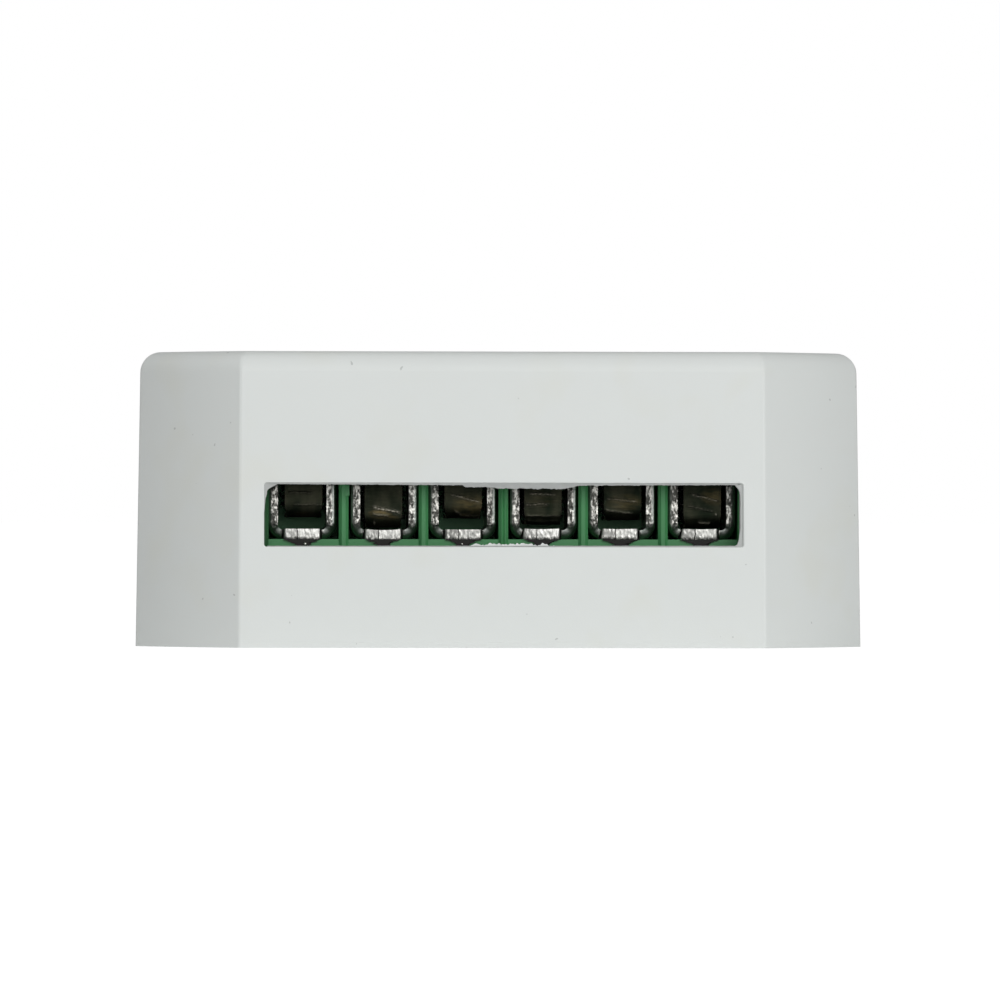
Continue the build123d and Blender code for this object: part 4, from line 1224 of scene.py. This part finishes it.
# %% Flash
FRONT_FACE = -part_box("top_shell")[1].y / MM
DRAFT = 0.01571  # the wall's lean, as a share of height
WINDOW_DROP = 0.47
WINDOW_HEIGHT = 4.05
WINDOW_WIDTH = 29.95
WINDOW_MIDDLE = 0.12
WINDOW_LOW = CELL_FLOOR - WINDOW_DROP
WINDOW_HIGH = WINDOW_LOW + WINDOW_HEIGHT
WINDOW_LEFT = WINDOW_MIDDLE - WINDOW_WIDTH / 2
WINDOW_RIGHT = WINDOW_MIDDLE + WINDOW_WIDTH / 2


def add_bits(shape_of, slot, bits):
    """A piece for each named bit of flash. A bit is its share of painted shade, for the dark behind thin
    flash, and then the sizes of its shape.
    """
    for name, (thin, *sizes) in bits.items():
        shape = shape_of(*sizes)
        marks = {"thin": [thin] * len(shape[0])}
        make_piece(name, shape, slot, marks=marks, smooth_angle=60)
        print(name, len(shape[1]), "faces")


def flash_curtain(start, end, edge, stops, upward, ragged, inset, seed):
    """A ragged curtain from start to end along a window edge. Stops say how far its free edge reaches."""

    def place(u, v, w):
        x = start + u * (end - start)
        torn = 1 + ragged * (rough(x * 2.1, seed, 0.0) + 0.7 * rough(x * 7, seed, 3.0))
        z = edge + upward * through_stops(x, stops) * max(0.05, torn) * v
        y = FRONT_FACE + edge * DRAFT + inset + 0.03 * rough(x * 1.7, v * 2, seed) + (0.30 - 0.15 * v) * w
        return x, y, z

    return mapped_box((max(8, int((end - start) * 16)), 5, 2), place)


# (x, reach): the upper curtain is deepest in the middle, with steep ends
top_stops = [
    (-14.5, 0.14), (-2.5, 0.20), (-2.3, 0.31), (-0.6, 0.33), (-0.2, 0.40), (3.9, 0.42), (4.8, 0.21),
    (14.5, 0.16),
]
low_stops = [(-2.9, 0.05), (-1.3, 0.22), (2.2, 0.24), (2.9, 0.14), (3.8, 0.05)]
# a narrow lip along the whole lower edge
lip_stops = [(-14.5, 0.08), (-3.0, 0.10), (14.5, 0.12)]
# Each bit's first number is its share of painted shade.
add_bits(flash_curtain, "case_white", {
    "flash_top": (1.0, WINDOW_LEFT + 0.3, WINDOW_RIGHT - 0.4, WINDOW_HIGH, top_stops, -1, 0.2, 0.06, 2.0),
    "flash_low": (0.0, -2.9, 3.8, WINDOW_LOW - 0.04, low_stops, 1, 0.7, 0.12, 6.0),
    "flash_lip": (
        1.0, WINDOW_LEFT + 0.2, WINDOW_RIGHT - 0.5, WINDOW_LOW - 0.02, lip_stops, 1, 0.1, 0.04, 9.0,
    ),
})

# %% Webs in two corners of the window, and burrs
# (drop below the window's top, reach): a triangle with a long thin tail down the side
left_web_stops = [(0.0, 0.92), (0.15, 0.76), (0.58, 0.2), (1.0, 0.1), (2.0, 0.0)]
# (rise above the window's foot, reach)
right_web_stops = [
    (0.0, 0.85), (0.08, 0.5), (0.2, 0.2), (0.6, 0.1), (1.2, 0.02), (3.3, 0.02), (3.6, 0.12), (3.9, 0.4)
]


def corner_web(corner_x, corner_z, inward, upward, stops):
    """A thin web in a corner of the window, from its side to a free edge."""

    def place(u, v, w):
        rise = v ** 1.5 * stops[-1][0]
        reach = through_stops(rise, stops) * (1 + 0.3 * rough(rise * 3, inward, 0.0))
        reach += 0.02 * rough(rise * 2, 0.0, 5.0)
        x = corner_x + inward * (u * (reach + 0.08) - 0.08)
        z = corner_z + upward * (rise - 0.05 * (1 - v))
        return x, FRONT_FACE + z * DRAFT + 0.12 + w * 0.3, z

    return mapped_box((6, 40, 2), place)


def rib_burr(x, low, high, reach, seed):
    """A sliver that stands out to the right of a rib's front edge between two heights."""

    def place(u, v, w):
        z = low + u * (high - low)
        out = reach * ease(u / 0.2) * ease((1 - u) / 0.2) * (1 + 0.5 * rough(z * 5, seed, 0.0))
        return x - 0.04 + (0.04 + out) * v, BLOCK_FRONT + 0.02 + 0.06 * v + 0.12 * w, z

    return mapped_box((24, 3, 1), place)


# Each web's first number is its share of painted shade.
add_bits(corner_web, "case_white", {
    "web_left": (0.8, WINDOW_LEFT, WINDOW_HIGH, 1, -1, left_web_stops),
    "web_right": (0.8, WINDOW_RIGHT - 0.22, WINDOW_LOW, -1, 1, right_web_stops),
})
first_rib, third_rib = (way_x[0] + way_x[1]) / 2, (way_x[2] + way_x[3]) / 2
add_bits(rib_burr, "terminal_green", {
    "burr_1": (0.0, first_rib + 0.16, CELL_FLOOR + 2.6, CELL_FLOOR + 3.5, 0.2, 1.0),
    "burr_3": (0.0, third_rib + 0.12, CELL_FLOOR + 1.9, CELL_FLOOR + 3.5, 0.12, 5.0),
})

# %% [markdown] ## Sizes, and the end  The dressed model must stay inside the CAD model's box.

# %% Print the visual box
low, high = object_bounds()
print("visual box", [round(v / MM, 2) for v in (*low, *high)])
